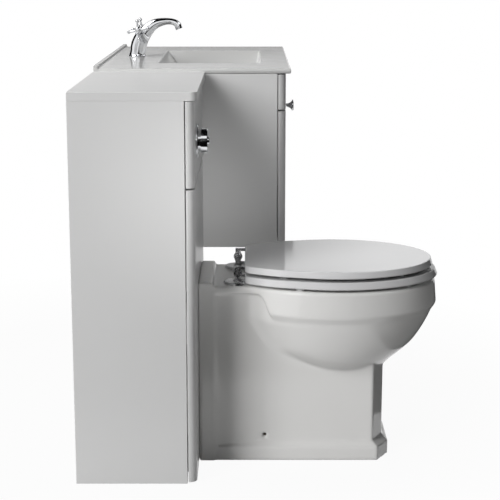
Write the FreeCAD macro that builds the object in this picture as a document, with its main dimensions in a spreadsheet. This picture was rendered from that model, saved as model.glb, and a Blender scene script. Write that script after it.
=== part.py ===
"""Bathroom suite: WC unit with a concealed cistern, back-to-wall pan, wall-hung vanity unit, basin and tap.

The wall is the plane Y = 0 and the floor is Z = 0, with the suite in front of the wall, towards -Y.
X = 0 is the joint between the two units: the WC unit runs towards -X and the vanity unit towards +X.
Reaches of basin and tap are measured from the wall; those of pan, seat, lid and hinges start at the pan's
back, which stands against the WC unit's front. All lengths are millimetres.
"""
import FreeCAD, Part
import math
import os
import re
from types import SimpleNamespace

import Sketcher
from FreeCAD import Placement, Rotation, Vector

sizes = {
    # Boards, joints and cuts shared by both units
    "board": 18,
    "front_gap": 2,
    "panel_gap": 4,
    "edge_round": 16,
    "overrun": 5,
    # WC unit
    "wc_width": 500,
    "wc_depth": 235.5,
    "wc_height": 809,
    "wc_upper_height": 179,
    "wc_floor_gap": 3,
    "wc_top_gap": 1,
    "wc_top_depth": 262,
    "wc_top_thick": 18,
    "wc_back_rail_drop": 119,
    "wc_back_rail_height": 100,
    "wc_rail_height": 80,
    "wc_top_rail_height": 45,
    "wc_plinth_rail_low": 20,
    "bracket_leg_length": 40,
    "bracket_thick": 2.5,
    "bracket_height": 60,
    "bracket_rise": 30,
    "wall_screw_radius": 3.25,
    # Cistern
    "tank_width": 380,
    "tank_depth": 145,
    "tank_low": 440,
    "tank_headroom": 69,
    "tank_wall": 4,
    "tank_round": 25,
    "lid_thick": 5,
    "lid_rim": 8,
    "lid_fit": 0.5,
    "valve_reach": 90,
    "flush_tail_radius": 25,
    "flush_tail_drop": 40,
    "flush_tail_bore": 19,
    "flush_seat_radius": 38,
    "flush_seat_thick": 6,
    "flush_tower_radius": 32,
    "flush_tower_wall": 3.5,
    "flush_tower_share": 0.6,
    "flush_window_height": 40,
    "flush_window_width": 30,
    "plug_fit": 1,
    "plug_thick": 8,
    "plug_rod_radius": 4,
    "rest_gap": 0.3,
    "fill_inset": 60,
    "fill_radius": 9,
    "fill_tail_radius": 10.5,
    "fill_tail_drop": 40,
    "fill_inlet_radius": 10,
    "fill_inlet_length": 26,
    "fill_flange_radius": 17,
    "fill_flange_thick": 5,
    "fill_share": 0.75,
    "fill_head_radius": 22,
    "fill_head_height": 35,
    "fill_stop_radius": 14,
    "fill_stop_share": 0.2,
    "float_radius": 28,
    "float_height": 40,
    "float_wall": 3,
    "float_fit": 0.5,
    "tank_nut_radius": 20,
    "tank_nut_thick": 8,
    "coupling_radius": 32,
    "coupling_height": 26,
    # Flush pipe and soil connector
    "pipe_radius": 20,
    "pipe_wall": 2,
    "pipe_bend": 38,
    "inlet_height": 335,
    "inlet_depth": 28,
    "cone_radius": 25,
    "soil_height": 180,
    "horn_radius": 50,
    "connector_radius": 55,
    "connector_neck_radius": 53.5,
    "spigot_length": 60,
    "connector_lap": 30,
    "hole_clearance": 4,
    # Flush control
    "control_inset": 115,
    "control_drop": 94,
    "control_flange_radius": 35.5,
    "control_flange_thick": 4,
    "control_collar_radius": 23,
    "control_collar_rise": 12,
    "barrel_radius": 20,
    "barrel_bore": 17,
    "barrel_tail": 24,
    "barrel_clearance": 0.5,
    "nut_radius": 30,
    "nut_thick": 10,
    "button_radius": 26.5,
    "button_front": 23.5,
    "button_face": 6,
    "button_skirt_foot": 9.5,
    "button_skirt_gap": 0.3,
    "button_chamfer": 1.2,
    "half_radius": 9,
    "half_front": 27,
    "running_fit": 0.05,
    # Pan
    "plinth_half_width": 112,
    "plinth_front": 420.1,
    "plinth_height": 31,
    "plinth_chamfer_depth": 27,
    "plinth_chamfer_width": 48,
    "cove_height": 12,
    "pedestal_half_width": 103,
    "pedestal_front": 407,
    "pedestal_chamfer_depth": 25,
    "pedestal_chamfer_width": 48,
    "pedestal_top": 245,
    "pilaster_half_width": 114,
    "pilaster_front": 32.5,
    "pilaster_slope": 10,
    "panel_half_width": 109,
    "body_front": 214.5,
    "rim_centre": 299.5,
    "rim_reach": 227.3,
    "rim_half_width": 181.5,
    "rim_top": 396,
    "rim_band_height": 55,
    "deck_half_width": 115,
    "lip_thick": 16,
    "lip_front": 126.8,
    "lip_run": 42.8,
    "rim_draft": 4.5,
    "rim_flare": 75,
    "rim_round": 7,
    "collar_height": 15,
    "bowl_foot": 198,
    "bowl_reach": 217,
    "bowl_half_width": 173,
    "bowl_flare": 110,
    "neck_half_width": 102.6,
    "neck_back": 50,
    "ridge_front": 32.5,
    "ridge_half_width": 114,
    "ridge_rise": 8,
    "ridge_round": 2.5,
    "well_shift": 20,
    "well_reach": 160,
    "well_half_width": 138,
    "well_floor": 208,
    "pan_wall": 15,
    "deck_thick": 34,
    "sump_thick": 22,
    "chamber_front": 132.5,
    "trap_radius": 45,
    "trap_wall": 9,
    "trap_start_reach": 244.5,
    "trap_start_height": 218,
    "weir_reach": 142.5,
    "weir_height": 268,
    "trap_drop_reach": 80.5,
    "trap_bend": 44,
    "side_hole_radius": 5,
    "side_hole_reach": 144.5,
    "side_hole_height": 56,
    "floor_bracket_width": 30,
    "floor_bracket_foot": 34,
    "floor_bracket_height": 72,
    "floor_bracket_thick": 4,
    "floor_screw_radius": 3.5,
    "side_screw_radius": 3,
    "side_screw_head": 4.5,
    "side_screw_head_thick": 3,
    "side_screw_tail": 14,
    "side_screw_clearance": 0.5,
    "side_lip": 4,
    # Seat, lid and hinges
    "seat_gap": 6,
    "seat_thick": 16,
    "seat_reach": 230,
    "seat_half_width": 180.5,
    "seat_setback": 16,
    "seat_back_half_width": 118,
    "seat_draft": 7,
    "seat_corner_round": 24,
    "seat_round": 3,
    "seat_hole_shift": 11,
    "seat_hole_reach": 150,
    "seat_hole_half_width": 116,
    "lid_gap": 8,
    "lid_height": 15,
    "lid_reach": 218,
    "lid_half_width": 179,
    "lid_draft": 4.5,
    "lid_round": 2.5,
    "hinge_half_spacing": 77.5,
    "hinge_reach": 84.5,
    "hinge_rise": 25,
    "hinge_flange_radius": 30,
    "hinge_flange_thick": 5,
    "hinge_flange_chamfer": 2,
    "hinge_stud_radius": 4,
    "hinge_stud_hole": 7,
    "hinge_stud_drop": 60,
    "hinge_collar_radius": 9,
    "hinge_collar_rise": 5,
    "hinge_neck_radius": 5,
    "hinge_ball_radius": 10,
    "hinge_pin_radius": 3,
    "hinge_pin_length": 44,
    "hinge_nut_radius": 10,
    "hinge_nut_thick": 9,
    "arm_offset": 12.5,
    "arm_width": 8,
    "arm_radius": 8,
    "tongue_thick": 6,
    "tongue_depth": 16,
    "tongue_leg": 6,
    "buffer_radius": 9,
    "seat_buffer_back_reach": 219,
    "seat_buffer_back_offset": 150,
    "seat_buffer_front_reach": 450,
    "seat_buffer_front_offset": 112,
    "lid_buffer_back_reach": 184.5,
    "lid_buffer_back_offset": 126,
    "lid_buffer_front_reach": 434.5,
    "lid_buffer_front_offset": 110,
    # Vanity unit
    "vanity_width": 800,
    "vanity_depth": 432,
    "vanity_low": 406,
    "vanity_top": 821,
    "vanity_fascia_height": 86,
    "vanity_top_gap": 2,
    "back_rail_setback": 20,
    "back_rail_height": 110,
    "front_rail_height": 82,
    "hanger_width": 60,
    "hanger_height": 46,
    "hanger_plate_thick": 4,
    "hanger_plate_drop": 30,
    "hanger_drop": 12,
    "hanger_inset": 8,
    "runner_length": 360,
    "runner_start": 60,
    "runner_depth": 10,
    "runner_height": 40,
    "runner_web": 3,
    "slide_fit": 0.5,
    "slide_length": 340,
    "slide_gap": 13,
    "drawer_clearance": 14,
    "drawer_side_height": 110,
    "drawer_board": 15,
    "drawer_length": 380,
    "drawer_floor_thick": 8,
    "drawer_floor_rise": 10,
    "knob_drop": 28,
    "knob_radius": 15,
    "knob_rim_thick": 3,
    "knob_base_radius": 8,
    "knob_base_thick": 2.5,
    "knob_neck_radius": 4.8,
    "knob_foot_radius": 5.6,
    "knob_foot_share": 0.17,
    "knob_neck_share": 0.33,
    "knob_flare_radius": 7.5,
    "knob_flare_share": 0.7,
    "knob_length": 30,
    "knob_screw_radius": 2,
    "knob_screw_head": 4.5,
    "knob_screw_head_thick": 2.5,
    "knob_screw_grip": 10,
    # Basin, waste and trap
    "basin_depth": 464,
    "basin_thick": 12,
    "basin_round": 3,
    "upstand_thick": 10,
    "upstand_height": 7,
    "bowl_length": 446,
    "bowl_width": 255,
    "bowl_back": 139.5,
    "bowl_depth": 82,
    "bowl_floor_length": 120,
    "bowl_back_slope": 80,
    "bowl_front_slope": 18,
    "bowl_wall": 10,
    "tap_hole_radius": 17,
    "waste_flange_radius": 29,
    "waste_flange_thick": 3,
    "waste_radius": 19,
    "waste_bore": 15,
    "waste_length": 78,
    "waste_clearance": 0.5,
    "waste_rib": 3,
    "waste_hub_radius": 9,
    "waste_hub_drop": 30,
    "waste_hub_height": 12,
    "waste_nut_radius": 29,
    "waste_nut_thick": 9,
    "plug_radius": 26,
    "plug_rise": 6,
    "dome_share": 0.6,
    "dome_rise_share": 0.8,
    "dome_flat": 0.8,
    "plug_stem_radius": 5,
    "plug_stem_length": 48,
    "trap_nut_radius": 27,
    "trap_nut_height": 26,
    "bottle_radius": 30,
    "bottle_wall": 3,
    "bottle_height": 62,
    "cup_radius": 33,
    "cup_height": 42,
    "cup_lap": 14,
    "outlet_radius": 16,
    "outlet_drop": 26,
    "outlet_neck_radius": 17,
    # Tap
    "tap_reach": 72,
    "tap_ring_radius": 24,
    "tap_ring_thick": 5,
    "tap_foot_radius": 22,
    "spout_rise": 91,
    "spout_run": 114,
    "aerator_radius": 9.2,
    "aerator_bore": 7.5,
    "aerator_length": 6,
    "valve_root_offset": 10,
    "valve_root_reach": 91,
    "valve_root_rise": 47,
    "hub_offset": 63,
    "hub_reach": 80,
    "hub_rise": 71,
    "shroud_root_radius": 13,
    "shroud_waist_radius": 9.5,
    "shroud_waist_share": 0.55,
    "shroud_mouth_radius": 12,
    "shroud_setback": 11,
    "spindle_radius": 4,
    "hub_radius": 8.5,
    "hub_foot_radius": 6.8,
    "hub_length": 15,
    "hub_gap": 0.6,
    "spoke_reach": 25,
    "spoke_root_reach": 6,
    "spoke_root_radius": 3.1,
    "spoke_radius": 2.4,
    "spoke_ball_radius": 4.6,
    "cap_radius": 6.5,
    "cap_rise": 3,
    "tap_stud_radius": 5,
    "tap_stud_length": 62,
    "tap_washer_radius": 24,
    "tap_washer_thick": 4,
    "tap_nut_radius": 9,
    "tap_nut_thick": 8,
    "tip_forward_share": 0.36,
    "tip_drop_share": 0.933,
}
# Sizes that follow from those of the sheet
follows = {
    "wc_split": "wc_height - wc_upper_height",
    "wc_back_rail_low": "wc_height - wc_back_rail_drop",
    "bracket_low": "wc_back_rail_low + bracket_rise",
    "control_height": "wc_height - control_drop",
    "tank_height": "wc_height - tank_headroom - tank_low",
    "flush_tower_height": "tank_height * flush_tower_share",
    "fill_height": "tank_height * fill_share",
    "fill_stop_height": "tank_height * fill_stop_share",
    "rim_low": "rim_top - rim_band_height",
    "lip_low": "rim_top - lip_thick",
    "bowl_top": "rim_low - collar_height",
    "ridge_top": "rim_top + ridge_rise",
    "well_centre": "rim_centre + well_shift",
    "seat_low": "rim_top + seat_gap",
    "seat_centre": "rim_centre",
    "seat_back": "hinge_reach + seat_setback",
    "seat_hole_centre": "seat_centre + seat_hole_shift",
    "lid_low": "seat_low + seat_thick + lid_gap",
    "hinge_axis": "rim_top + hinge_rise",
    "vanity_split": "vanity_top - vanity_fascia_height",
}

doc = FreeCAD.newDocument("BathroomSuite")
sheet = doc.addObject("Spreadsheet::Sheet", "Sizes")
for row, (alias, number) in enumerate(sizes.items(), start=1):
    sheet.set(f"A{row}", alias)
    sheet.set(f"B{row}", str(number))
    sheet.setAlias(f"B{row}", alias)
doc.recompute()
nodes = {}


def bound(text):
    """Expression with each size name pointed at its cell of the sheet."""
    def cell(match):
        word = match.group()
        if word in follows:
            return f"({bound(follows[word])})"
        return f"Sizes.{word}" if word in sizes else word
    return re.sub(r"[a-z_][a-z0-9_]*", cell, text)


def value(text):
    """Number that an expression of size names comes to."""
    return float(sheet.evalExpression(bound(text)))


at = SimpleNamespace(**{alias: value(alias) for alias in (*sizes, *follows)})


def keep(item, name):
    """Takes an object as the sub-part of that name."""
    item.Label = name
    nodes[name] = item
    return item


def place(item, low):
    """Binds an object's position to three expressions."""
    for axis, text in zip("xyz", low):
        item.setExpression(f"Placement.Base.{axis}", bound(text))
    return item


def block(name, low, extent):
    """Rectangular board or bar from its low corner."""
    item = doc.addObject("Part::Box", name)
    for prop, text in zip(("Length", "Width", "Height"), extent):
        item.setExpression(prop, bound(text))
    return place(item, low)


def rod(name, base, radius, length, along=Vector(0, 0, 1)):
    """Round bar from the centre of its first face, along a direction."""
    item = doc.addObject("Part::Cylinder", name)
    item.setExpression("Radius", bound(radius))
    item.setExpression("Height", bound(length))
    item.Placement = Placement(Vector(), Rotation(Vector(0, 0, 1), along))
    return place(item, base)


def cut(name, base, *tools):
    """Base with each tool taken away in turn."""
    for number, tool in enumerate(tools):
        item = doc.addObject("Part::Cut", f"{name}_cut_{number}")
        item.Base = base
        item.Tool = tool
        base = item
    return base


def fuse(name, *pieces):
    """Pieces joined into one solid."""
    item = doc.addObject("Part::MultiFuse", f"{name}_joined")
    item.Shapes = list(pieces)
    return item


def group(name, *pieces):
    """Like pieces kept as separate solids of one sub-part."""
    item = doc.addObject("Part::Compound", f"{name}_group")
    item.Links = list(pieces)
    return keep(item, name)


def new_sketch(body, name, role, offset="0"):
    """Empty sketch on one of the body's own planes, moved along its normal."""
    sketch = body.newObject("Sketcher::SketchObject", name)
    plane = next(item for item in body.Origin.OriginFeatures if item.Role == role)
    sketch.AttachmentSupport = [(plane, "")]
    sketch.MapMode = "FlatFace"
    sketch.setExpression("AttachmentOffset.Base.z", bound(offset))
    return sketch


def pin(sketch, edge, vertex, spot):
    """Ties one end of a sketch edge to a pair of expressions."""
    axes = (("DistanceX", -2), ("DistanceY", -1))
    for (kind, axis), text in zip(axes, spot):
        amount = value(text)
        if amount == 0:
            sketch.addConstraint(Sketcher.Constraint("PointOnObject", edge, vertex, axis))
            continue
        index = sketch.addConstraint(Sketcher.Constraint(kind, -1, 1, edge, vertex, amount))
        sketch.setExpression(f"Constraints[{index}]", bound(text))


def outline(sketch, points):
    """Closed outline; a point of four expressions is reached by an arc through its last two."""
    spots = [Vector(value(point[0]), value(point[1]), 0) for point in points]
    ends = []
    for index, point in enumerate(points):
        start = spots[index - 1]
        finish = spots[index]
        if len(point) == 2:
            edge = sketch.addGeometry(Part.LineSegment(start, finish))
        else:
            middle = Vector(value(point[2]), value(point[3]), 0)
            edge = sketch.addGeometry(Part.Arc(start, middle, finish))
        first = 1 if sketch.getPoint(edge, 1).distanceToPoint(start) < value("rest_gap") else 2
        ends.append((edge, first, 3 - first))
    for index, point in enumerate(points):
        edge, first, last = ends[index]
        after, begins, _ = ends[(index + 1) % len(ends)]
        sketch.addConstraint(Sketcher.Constraint("Coincident", edge, last, after, begins))
        pin(sketch, edge, last, point)
    return sketch


def rectangle(sketch, low_x, high_x, low_y, high_y):
    """Closed rectangle between four expressions."""
    return outline(sketch, [(low_x, low_y), (high_x, low_y), (high_x, high_y), (low_x, high_y)])


def circles(sketch, holes):
    """Circles from centre and radius expressions."""
    for across, up, radius in holes:
        middle = Vector(value(across), value(up), 0)
        edge = sketch.addGeometry(Part.Circle(middle, Vector(0, 0, 1), value(radius)))
        pin(sketch, edge, 3, (across, up))
        index = sketch.addConstraint(Sketcher.Constraint("Radius", edge, value(radius)))
        sketch.setExpression(f"Constraints[{index}]", bound(radius))
    return sketch


def new_body(name):
    return doc.addObject("PartDesign::Body", name)


def pad(body, sketch, length, tag="pad"):
    """Extrudes a sketch along its normal."""
    item = body.newObject("PartDesign::Pad", f"{body.Name}_{tag}")
    item.Profile = sketch
    item.setExpression("Length", bound(length))
    return item


def pocket(body, sketch, length=None, reverse=False, tag="pocket"):
    """Cuts a sketch to a length, or right through both ways, and checks that it took material away."""
    doc.recompute()
    before = body.Shape.Volume
    item = body.newObject("PartDesign::Pocket", f"{body.Name}_{tag}")
    item.Profile = sketch
    item.Reversed = reverse
    if length is None:
        item.Type = "ThroughAll"
        item.SideType = "Symmetric"
    else:
        item.setExpression("Length", bound(length))
    doc.recompute()
    if not item.Shape.Volume < before:
        raise RuntimeError(f"{item.Name} cuts nothing")
    return item


def round_edges(body, radius, wanted, tag="round"):
    """Fillets the edges of the body's tip that a test picks."""
    doc.recompute()
    base = body.Tip
    names = [f"Edge{index}" for index, edge in enumerate(base.Shape.Edges, start=1) if wanted(edge)]
    item = body.newObject("PartDesign::Fillet", f"{body.Name}_{tag}")
    item.Base = (base, names)
    item.setExpression("Radius", bound(radius))
    return item


def upright(edge):
    """True for a straight edge parallel to Z."""
    box = edge.BoundBox
    return box.XLength + box.YLength < at.rest_gap and len(edge.Vertexes) == 2


def front_panel(name, low, extent, radius):
    """Board whose two upright front edges are rounded."""
    body = new_body(name)
    sketch = new_sketch(body, f"{name}_plan", "XY_Plane", low[2])
    rectangle(sketch, low[0], f"{low[0]} + {extent[0]}", low[1], f"{low[1]} + {extent[1]}")
    pad(body, sketch, extent[2])
    front = value(low[1])
    round_edges(body, radius, lambda edge: upright(edge) and edge.BoundBox.YMin < front + at.rest_gap)
    return keep(body, name)


def turned(name, profile, role="XZ_Plane"):
    """Body turned about its own Z axis from a profile of radius and height."""
    body = new_body(name)
    sketch = outline(new_sketch(body, f"{name}_profile", role), profile)
    turn = body.newObject("PartDesign::Revolution", f"{name}_turn")
    turn.Profile = sketch
    turn.ReferenceAxis = (sketch, ["V_Axis"])
    return body


def face_front(body, base):
    """Points a turned body's own Z axis out of the wall."""
    body.Placement = Placement(Vector(), Rotation(Vector(0, 0, 1), Vector(0, -1, 0)))
    return place(body, base)


def feature(name, shape):
    """Sub-part whose form is made with shape functions."""
    item = doc.addObject("Part::Feature", name)
    item.Shape = shape
    return keep(item, name)


def bent_path(spots, bend):
    """Wire of straight runs with a tangent arc of one radius at each inner corner."""
    edges = []
    start = spots[0]
    for before, corner, after in zip(spots, spots[1:], spots[2:]):
        arrive = (corner - before).normalize()
        leave = (after - corner).normalize()
        turn = arrive.getAngle(leave)
        back = bend * math.tan(turn / 2)
        first = corner - arrive * back
        last = corner + leave * back
        inward = (leave - arrive).normalize()
        centre = corner + inward * (bend / math.cos(turn / 2))
        middle = centre - inward * bend
        edges.append(Part.LineSegment(start, first).toShape())
        edges.append(Part.Arc(first, middle, last).toShape())
        start = last
    edges.append(Part.LineSegment(start, spots[-1]).toShape())
    return Part.Wire(edges)


def bar_along(path, radius):
    """Solid round bar swept along a wire."""
    first = path.Edges[0]
    heading = first.tangentAt(first.FirstParameter)
    ring = Part.Wire([Part.makeCircle(radius, first.Vertexes[0].Point, heading)])
    return path.makePipeShell([ring], True, False)


# WC unit: carcass of two sides and rails, worktop and two front panels
wc_middle = "-wc_width / 2"
wc_front = "wc_depth + front_gap"
wc_face = "wc_depth + front_gap + board"
group("wc_sides", *(block(f"wc_side_{tag}", (left, "-wc_depth", "0"), ("board", "wc_depth", "wc_height"))
                    for tag, left in (("left", "-wc_width"), ("right", "-board"))))
rails = (
    ("wc_top_rail", "wc_height - wc_top_rail_height", "wc_top_rail_height"),
    ("wc_middle_rail", "wc_split - wc_rail_height / 2", "wc_rail_height"),
    ("wc_plinth_rail", "wc_plinth_rail_low", "wc_rail_height"),
)
group("wc_front_rails", *(block(rail, ("board - wc_width", f"-({wc_front})", low),
                                ("wc_width - 2 * board", "board", height)) for rail, low, height in rails))
front_panel("wc_worktop", ("-wc_width", "-wc_top_depth", "wc_height"),
            ("wc_width", "wc_top_depth", "wc_top_thick"), "edge_round")
upper = front_panel("wc_upper_fascia", ("-wc_width", f"-({wc_face})", "wc_split + panel_gap / 2"),
                    ("wc_width", "board", "wc_height - wc_top_gap - wc_split - panel_gap / 2"), "edge_round")
lower = front_panel("wc_lower_fascia", ("-wc_width", f"-({wc_face})", "wc_floor_gap"),
                    ("wc_width", "board", "wc_split - panel_gap / 2 - wc_floor_gap"), "edge_round")
control_x = "control_inset - wc_width"
hole = new_sketch(upper, "control_hole", "XZ_Plane")
pocket(upper, circles(hole, [(control_x, "control_height", "barrel_radius + barrel_clearance")]))
holes = new_sketch(lower, "pipe_holes", "XZ_Plane")
pocket(lower, circles(holes, [
    (wc_middle, "soil_height", "connector_neck_radius + hole_clearance"),
    (wc_middle, "inlet_height", "cone_radius + hole_clearance"),
]))

# Wall brackets: a steel angle inside each side panel, with one screw hole in the wall leg
brackets = []
for hand, side_face in ((1, "board - wc_width"), (-1, "-board")):
    name = f"wc_wall_bracket_{'left' if hand > 0 else 'right'}"
    body = new_body(name)
    sketch = new_sketch(body, f"{name}_plan", "XY_Plane", "bracket_low")
    sign = "+" if hand > 0 else "-"
    outline(sketch, [
        (side_face, "0"),
        (f"{side_face} {sign} bracket_leg_length", "0"),
        (f"{side_face} {sign} bracket_leg_length", "-bracket_thick"),
        (f"{side_face} {sign} bracket_thick", "-bracket_thick"),
        (f"{side_face} {sign} bracket_thick", "-bracket_leg_length"),
        (side_face, "-bracket_leg_length"),
    ])
    pad(body, sketch, "bracket_height")
    screw = new_sketch(body, f"{name}_hole", "XZ_Plane")
    leg_middle = f"{side_face} {sign} bracket_leg_length / 2"
    pocket(body, circles(screw, [(leg_middle, "bracket_low + bracket_height / 2", "wall_screw_radius")]))
    brackets.append(body)
rail_notches = []
for number, side_face in enumerate(("board - wc_width", "-board - bracket_leg_length")):
    corner = (side_face, "-board - overrun", "bracket_low")
    extent = ("bracket_leg_length", "board + 2 * overrun", "bracket_height")
    rail_notches.append(block(f"rail_notch_{number}", corner, extent))
group("wc_wall_brackets", *brackets)
back_rail = block("back_rail_board", ("board - wc_width", "-board", "wc_back_rail_low"),
                  ("wc_width - 2 * board", "board", "wc_back_rail_height"))
keep(cut("wc_back_rail", back_rail, *rail_notches), "wc_back_rail")

# Cistern tank: open plastic box on the back rail, with two holes in its floor
valve_y = "-valve_reach"
tank = new_body("cistern_tank")
tank_low_x = f"{wc_middle} - tank_width / 2"
fill_x = f"{tank_low_x} + fill_inset"
tank_high_x = f"{wc_middle} + tank_width / 2"
rectangle(new_sketch(tank, "tank_plan", "XY_Plane", "tank_low"),
          tank_low_x, tank_high_x, "-board - tank_depth", "-board")
pad(tank, doc.getObject("tank_plan"), "tank_height")
round_edges(tank, "tank_round", upright)
inside = new_sketch(tank, "tank_inside", "XY_Plane", "tank_low + tank_height")
rectangle(inside, f"{tank_low_x} + tank_wall", f"{tank_high_x} - tank_wall",
          "tank_wall - board - tank_depth", "-board - tank_wall")
pocket(tank, inside, "tank_height - tank_wall")
floor_holes = new_sketch(tank, "tank_holes", "XY_Plane", "tank_low")
pocket(tank, circles(floor_holes, [
    (wc_middle, valve_y, "flush_tail_radius"),
    (fill_x, valve_y, "fill_tail_radius"),
]), tag="holes")
keep(tank, "cistern_tank")
lid = new_body("cistern_lid")
lid_plan = new_sketch(lid, "cistern_lid_plan", "XY_Plane", "tank_low + tank_height")
rectangle(lid_plan, tank_low_x, tank_high_x, "-board - tank_depth", "-board")
pad(lid, lid_plan, "lid_thick")
round_edges(lid, "tank_round", upright)
rim_plan = new_sketch(lid, "cistern_lid_rim", "XY_Plane", "tank_low + tank_height - lid_rim")
rim_inset = "tank_wall + lid_fit"
rectangle(rim_plan, f"{tank_low_x} + tank_round", f"{tank_high_x} - tank_round",
          f"{rim_inset} - board - tank_depth", f"-board - ({rim_inset})")
pad(lid, rim_plan, "lid_rim", tag="rim")
keep(lid, "cistern_lid")

# Flush valve: threaded tail, seat flange and a slotted tower in which the plug lifts
seat_face = "tank_wall + flush_seat_thick"
tower_bore = "flush_tower_radius - flush_tower_wall"
tower = turned("flush_valve", [
    ("flush_tail_bore", "-flush_tail_drop"),
    ("flush_tail_radius", "-flush_tail_drop"),
    ("flush_tail_radius", "tank_wall"),
    ("flush_seat_radius", "tank_wall"),
    ("flush_seat_radius", seat_face),
    ("flush_tower_radius", seat_face),
    ("flush_tower_radius", f"{seat_face} + flush_tower_height"),
    ("plug_rod_radius + plug_fit", f"{seat_face} + flush_tower_height"),
    ("plug_rod_radius + plug_fit", f"{seat_face} + flush_tower_height - flush_tower_wall"),
    (tower_bore, f"{seat_face} + flush_tower_height - flush_tower_wall"),
    (tower_bore, seat_face),
    ("flush_tail_bore", seat_face),
])
for number, role in enumerate(("XZ_Plane", "YZ_Plane")):
    window = new_sketch(tower, f"flush_window_{number}", role)
    rectangle(window, "-flush_window_width / 2", "flush_window_width / 2",
              seat_face, f"{seat_face} + flush_window_height")
    pocket(tower, window, tag=f"window_{number}")
keep(place(tower, (wc_middle, valve_y, "tank_low")), "flush_valve")
plug = turned("flush_valve_plug", [
    ("0", f"{seat_face} + rest_gap"),
    (f"{tower_bore} - plug_fit", f"{seat_face} + rest_gap"),
    (f"{tower_bore} - plug_fit", f"{seat_face} + rest_gap + plug_thick"),
    ("plug_rod_radius", f"{seat_face} + rest_gap + plug_thick"),
    ("plug_rod_radius", f"{seat_face} + flush_tower_height + plug_thick"),
    ("0", f"{seat_face} + flush_tower_height + plug_thick"),
])
keep(place(plug, (wc_middle, valve_y, "tank_low")), "flush_valve_plug")

# Fill valve: threaded tail, stop collar, riser and head, with the float ring on the riser
filler = turned("fill_valve", [
    ("0", "-fill_tail_drop"),
    ("fill_inlet_radius", "-fill_tail_drop"),
    ("fill_inlet_radius", "fill_inlet_length - fill_tail_drop"),
    ("fill_tail_radius", "fill_inlet_length - fill_tail_drop"),
    ("fill_tail_radius", "tank_wall"),
    ("fill_flange_radius", "tank_wall"),
    ("fill_flange_radius", "tank_wall + fill_flange_thick"),
    ("fill_radius", "tank_wall + fill_flange_thick"),
    ("fill_radius", "fill_stop_height - fill_flange_thick"),
    ("fill_stop_radius", "fill_stop_height - fill_flange_thick"),
    ("fill_stop_radius", "fill_stop_height"),
    ("fill_radius", "fill_stop_height"),
    ("fill_radius", "fill_height"),
    ("fill_head_radius", "fill_height"),
    ("fill_head_radius", "fill_height + fill_head_height"),
    ("0", "fill_height + fill_head_height"),
])
keep(place(filler, (fill_x, valve_y, "tank_low")), "fill_valve")
float_low = "fill_stop_height + rest_gap"
float_ring = turned("fill_float", [
    ("fill_radius + float_fit", float_low),
    ("fill_radius + float_fit + float_wall", float_low),
    ("fill_radius + float_fit + float_wall", f"{float_low} + float_height - float_wall"),
    ("float_radius - float_wall", f"{float_low} + float_height - float_wall"),
    ("float_radius - float_wall", float_low),
    ("float_radius", float_low),
    ("float_radius", f"{float_low} + float_height"),
    ("fill_radius + float_fit", f"{float_low} + float_height"),
])
keep(place(float_ring, (fill_x, valve_y, "tank_low")), "fill_float")
flush_nut = turned("flush_tail_nut", [
    ("flush_tail_radius", "-tank_nut_thick"),
    ("flush_tail_radius + tank_nut_thick", "-tank_nut_thick"),
    ("flush_tail_radius + tank_nut_thick", "0"),
    ("flush_tail_radius", "0"),
])
place(flush_nut, (wc_middle, valve_y, "tank_low"))
coupling = turned("flush_pipe_coupling", [
    ("pipe_radius", "-flush_tail_drop - coupling_height / 2"),
    ("coupling_radius", "-flush_tail_drop - coupling_height / 2"),
    ("coupling_radius", "coupling_height / 2 - flush_tail_drop"),
    ("flush_tail_radius", "coupling_height / 2 - flush_tail_drop"),
    ("flush_tail_radius", "-flush_tail_drop"),
    ("pipe_radius", "-flush_tail_drop"),
])
place(coupling, (wc_middle, valve_y, "tank_low"))
fill_nut = turned("fill_tail_nut", [
    ("fill_tail_radius", "-tank_nut_thick"),
    ("tank_nut_radius", "-tank_nut_thick"),
    ("tank_nut_radius", "0"),
    ("fill_tail_radius", "0"),
])
place(fill_nut, (fill_x, valve_y, "tank_low"))
group("cistern_nuts", flush_nut, coupling, fill_nut)

# Flush pipe, its rubber cone in the pan, and the soil connector to the wall
pan_x = value(wc_middle)
pan_back = value(wc_face)


def spot(across, reach, height):
    """Point from the pan's middle line, its back and the floor."""
    return Vector(pan_x + across, -pan_back - reach, height)


pipe_top = at.tank_low - at.flush_tail_drop
pipe_route = bent_path([
    Vector(pan_x, -at.valve_reach, pipe_top),
    Vector(pan_x, -at.valve_reach, at.inlet_height),
    spot(0, at.inlet_depth, at.inlet_height),
], at.pipe_bend)
pipe = bar_along(pipe_route, at.pipe_radius).cut(bar_along(pipe_route, at.pipe_radius - at.pipe_wall))
feature("flush_pipe", pipe)
cone = turned("flush_cone", [
    ("pipe_radius", "0"),
    ("cone_radius", "0"),
    ("cone_radius", "inlet_depth"),
    ("pipe_radius", "inlet_depth"),
])
keep(face_front(cone, (wc_middle, f"-({wc_face})", "inlet_height")), "flush_cone")
connector_end = f"{wc_face} + connector_lap"
connector = turned("pan_connector", [
    ("horn_radius", "0"),
    ("connector_radius", "0"),
    ("connector_radius", "spigot_length"),
    ("connector_neck_radius", "spigot_length"),
    ("connector_neck_radius", connector_end),
    ("horn_radius", connector_end),
])
keep(face_front(connector, (wc_middle, "0", "soil_height")), "pan_connector")

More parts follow.
